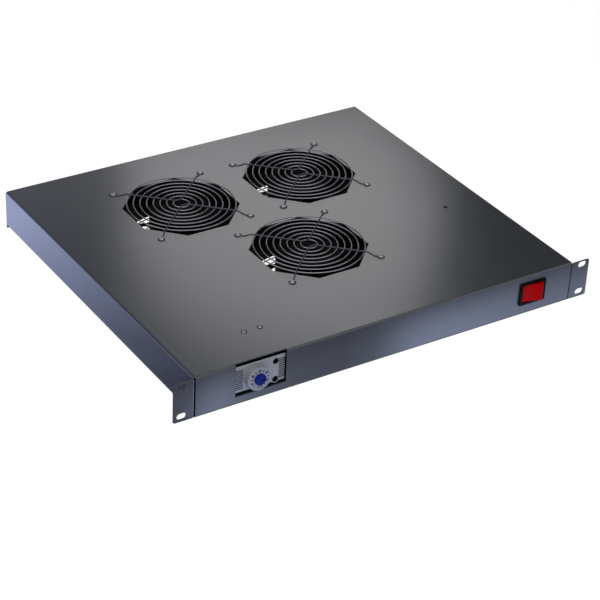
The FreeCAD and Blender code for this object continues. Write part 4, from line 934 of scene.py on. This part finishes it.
def glowing(name, strength, tint="#ffffff"):
    # a plain lamp-like surface and its tree
    material = bpy.data.materials.new(name)
    material.use_nodes = True
    tree = material.node_tree
    glow = addNode(tree, "ShaderNodeEmission", {"Color": hexColour(tint), "Strength": strength})
    tree.links.new(glow.outputs[0], tree.nodes["Material Output"].inputs["Surface"])
    return material, tree, glow


def boardPoint(distance, angle, rise):
    # a place behind the tray, by its compass angle and its rise seen from the camera's own mirror image in the plate
    x, y, z = cameraSettings["place"]
    turn, lift = radians(angle), tan(radians(rise))
    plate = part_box("chassis")[1].z
    return Vector((x + distance * sin(turn), y + distance * cos(turn), 2 * plate - z + distance * lift))


def stagePlane(name, points, material):
    form = bmesh.new()
    form.faces.new([form.verts.new(point) for point in points])
    board = looseObject(meshFrom(form), name)
    board.data.materials.append(material)
    board.visible_camera = False
    return board


def buildPanels():
    b = boardSizes
    for name, panel in panels.items():
        points = [boardPoint(panel["distance"], angle, rise) for angle, rise in panel["corners"]]
        stagePlane(name, points, glowing(name + "Light", panel["strength"])[0])
    board = newMaterial("blackStudioBoard", b["colour"], studio["roughness"])[0]
    (left, right), (low, high) = b["angles"], b["rises"]
    steps = [left + (right - left) * i / b["steps"] for i in range(b["steps"] + 1)]
    for near, far in zip(steps, steps[1:]):
        corners = [boardPoint(b["distance"], angle, rise) for angle, rise in
                   ((near, low), (far, low), (far, high), (near, high))]
        stagePlane("darkBoard", corners, board)


def rampAlong(tree, coordinate, stops):
    # a strength that follows its stops along one coordinate
    start, end, most = stops[0][0], stops[-1][0], max(strength for at, strength in stops)
    share = addNode(tree, "ShaderNodeMapRange", {"From Min": start, "From Max": end}, {"Value": coordinate})
    ramp = addNode(tree, "ShaderNodeValToRGB", links={0: share.outputs["Result"]})
    marks = ramp.color_ramp.elements
    for i, (at, strength) in enumerate(stops):
        mark = marks[i] if i < 2 else marks.new(1.0)
        mark.position = (at - start) / (end - start)
        mark.color = (*(strength / most,) * 3, 1.0)
    return addNode(tree, "ShaderNodeMath", {1: most}, {0: ramp.outputs[0]}, operation="MULTIPLY").outputs[0]


def buildCards():
    # each card's glow follows its stops along one side and its shares across
    for name, card in cards.items():
        material, tree, glow = glowing(name + "Glow", 1.0, card["tint"])
        place = addNode(tree, "ShaderNodeTexCoord")
        split = addNode(tree, "ShaderNodeSeparateXYZ", links={0: place.outputs["Object"]}).outputs
        sheared = addNode(tree, "ShaderNodeMath", {1: card["shear"]},
                          {0: split[1 - card["axis"]], 2: split[card["axis"]]}, operation="MULTIPLY_ADD")
        along = rampAlong(tree, sheared.outputs[0], card["stops"])
        across = rampAlong(tree, split[1 - card["axis"]], card["across"])
        power = addNode(tree, "ShaderNodeMath", links={0: along, 1: across}, operation="MULTIPLY")
        tree.links.new(power.outputs[0], glow.inputs["Strength"])
        (x0, y0), (x1, y1) = card["low"], card["high"]
        level = cadBounds[0].z + studio["cardLift"] * mm
        board = stagePlane(name, [(x0, y0, level), (x1, y0, level), (x1, y1, level), (x0, y1, level)], material)
        board.visible_diffuse = board.visible_shadow = board.visible_transmission = False


def buildFills():
    for name, fill in fills.items():
        light = bpy.data.lights.new(name, "AREA")
        light.shape = "RECTANGLE"
        light.size, light.size_y = fill["size"]
        light.energy = fill["power"]
        light.color = hexColour(fill["colour"])[:3]
        holder = bpy.data.objects.new(name, light)
        holder.location = fill["place"]
        holder.rotation_euler = (Vector(fill["aim"]) - Vector(fill["place"])).to_track_quat("-Z", "Y").to_euler()
        holder.visible_camera = holder.visible_glossy = False
        bpy.context.scene.collection.objects.link(holder)


def buildStudio():
    scene = bpy.context.scene
    scene.view_settings.view_transform = "Standard"
    whiteFloor()
    buildPanels()
    buildCards()
    buildFills()
    world = bpy.data.worlds.new("studioWorld")
    scene.world = world
    world.use_nodes = True
    tree = world.node_tree
    plain = tree.nodes["Background"]
    plain.inputs["Color"].default_value = (1, 1, 1, 1)
    plain.inputs["Strength"].default_value = studio["world"]
    white = addNode(tree, "ShaderNodeBackground", {"Color": (1, 1, 1, 1), "Strength": 1.0})
    mix = addNode(tree, "ShaderNodeMixShader", links={0: directRays(tree).outputs[0], 1: plain.outputs[0],
                                                      2: white.outputs[0]})
    tree.links.new(mix.outputs[0], tree.nodes["World Output"].inputs["Surface"])
    c = cameraSettings
    view = bpy.data.cameras.new("catalogueView")
    view.lens = c["lens"]
    view.sensor_width = c["sensor"]
    view.clip_end = c["reach"]
    holder = bpy.data.objects.new("catalogueView", view)
    holder.location = c["place"]
    holder.rotation_euler = [radians(a) for a in c["turn"]]
    scene.collection.objects.link(holder)
    scene.camera = holder


buildStudio()
print("studio lit")
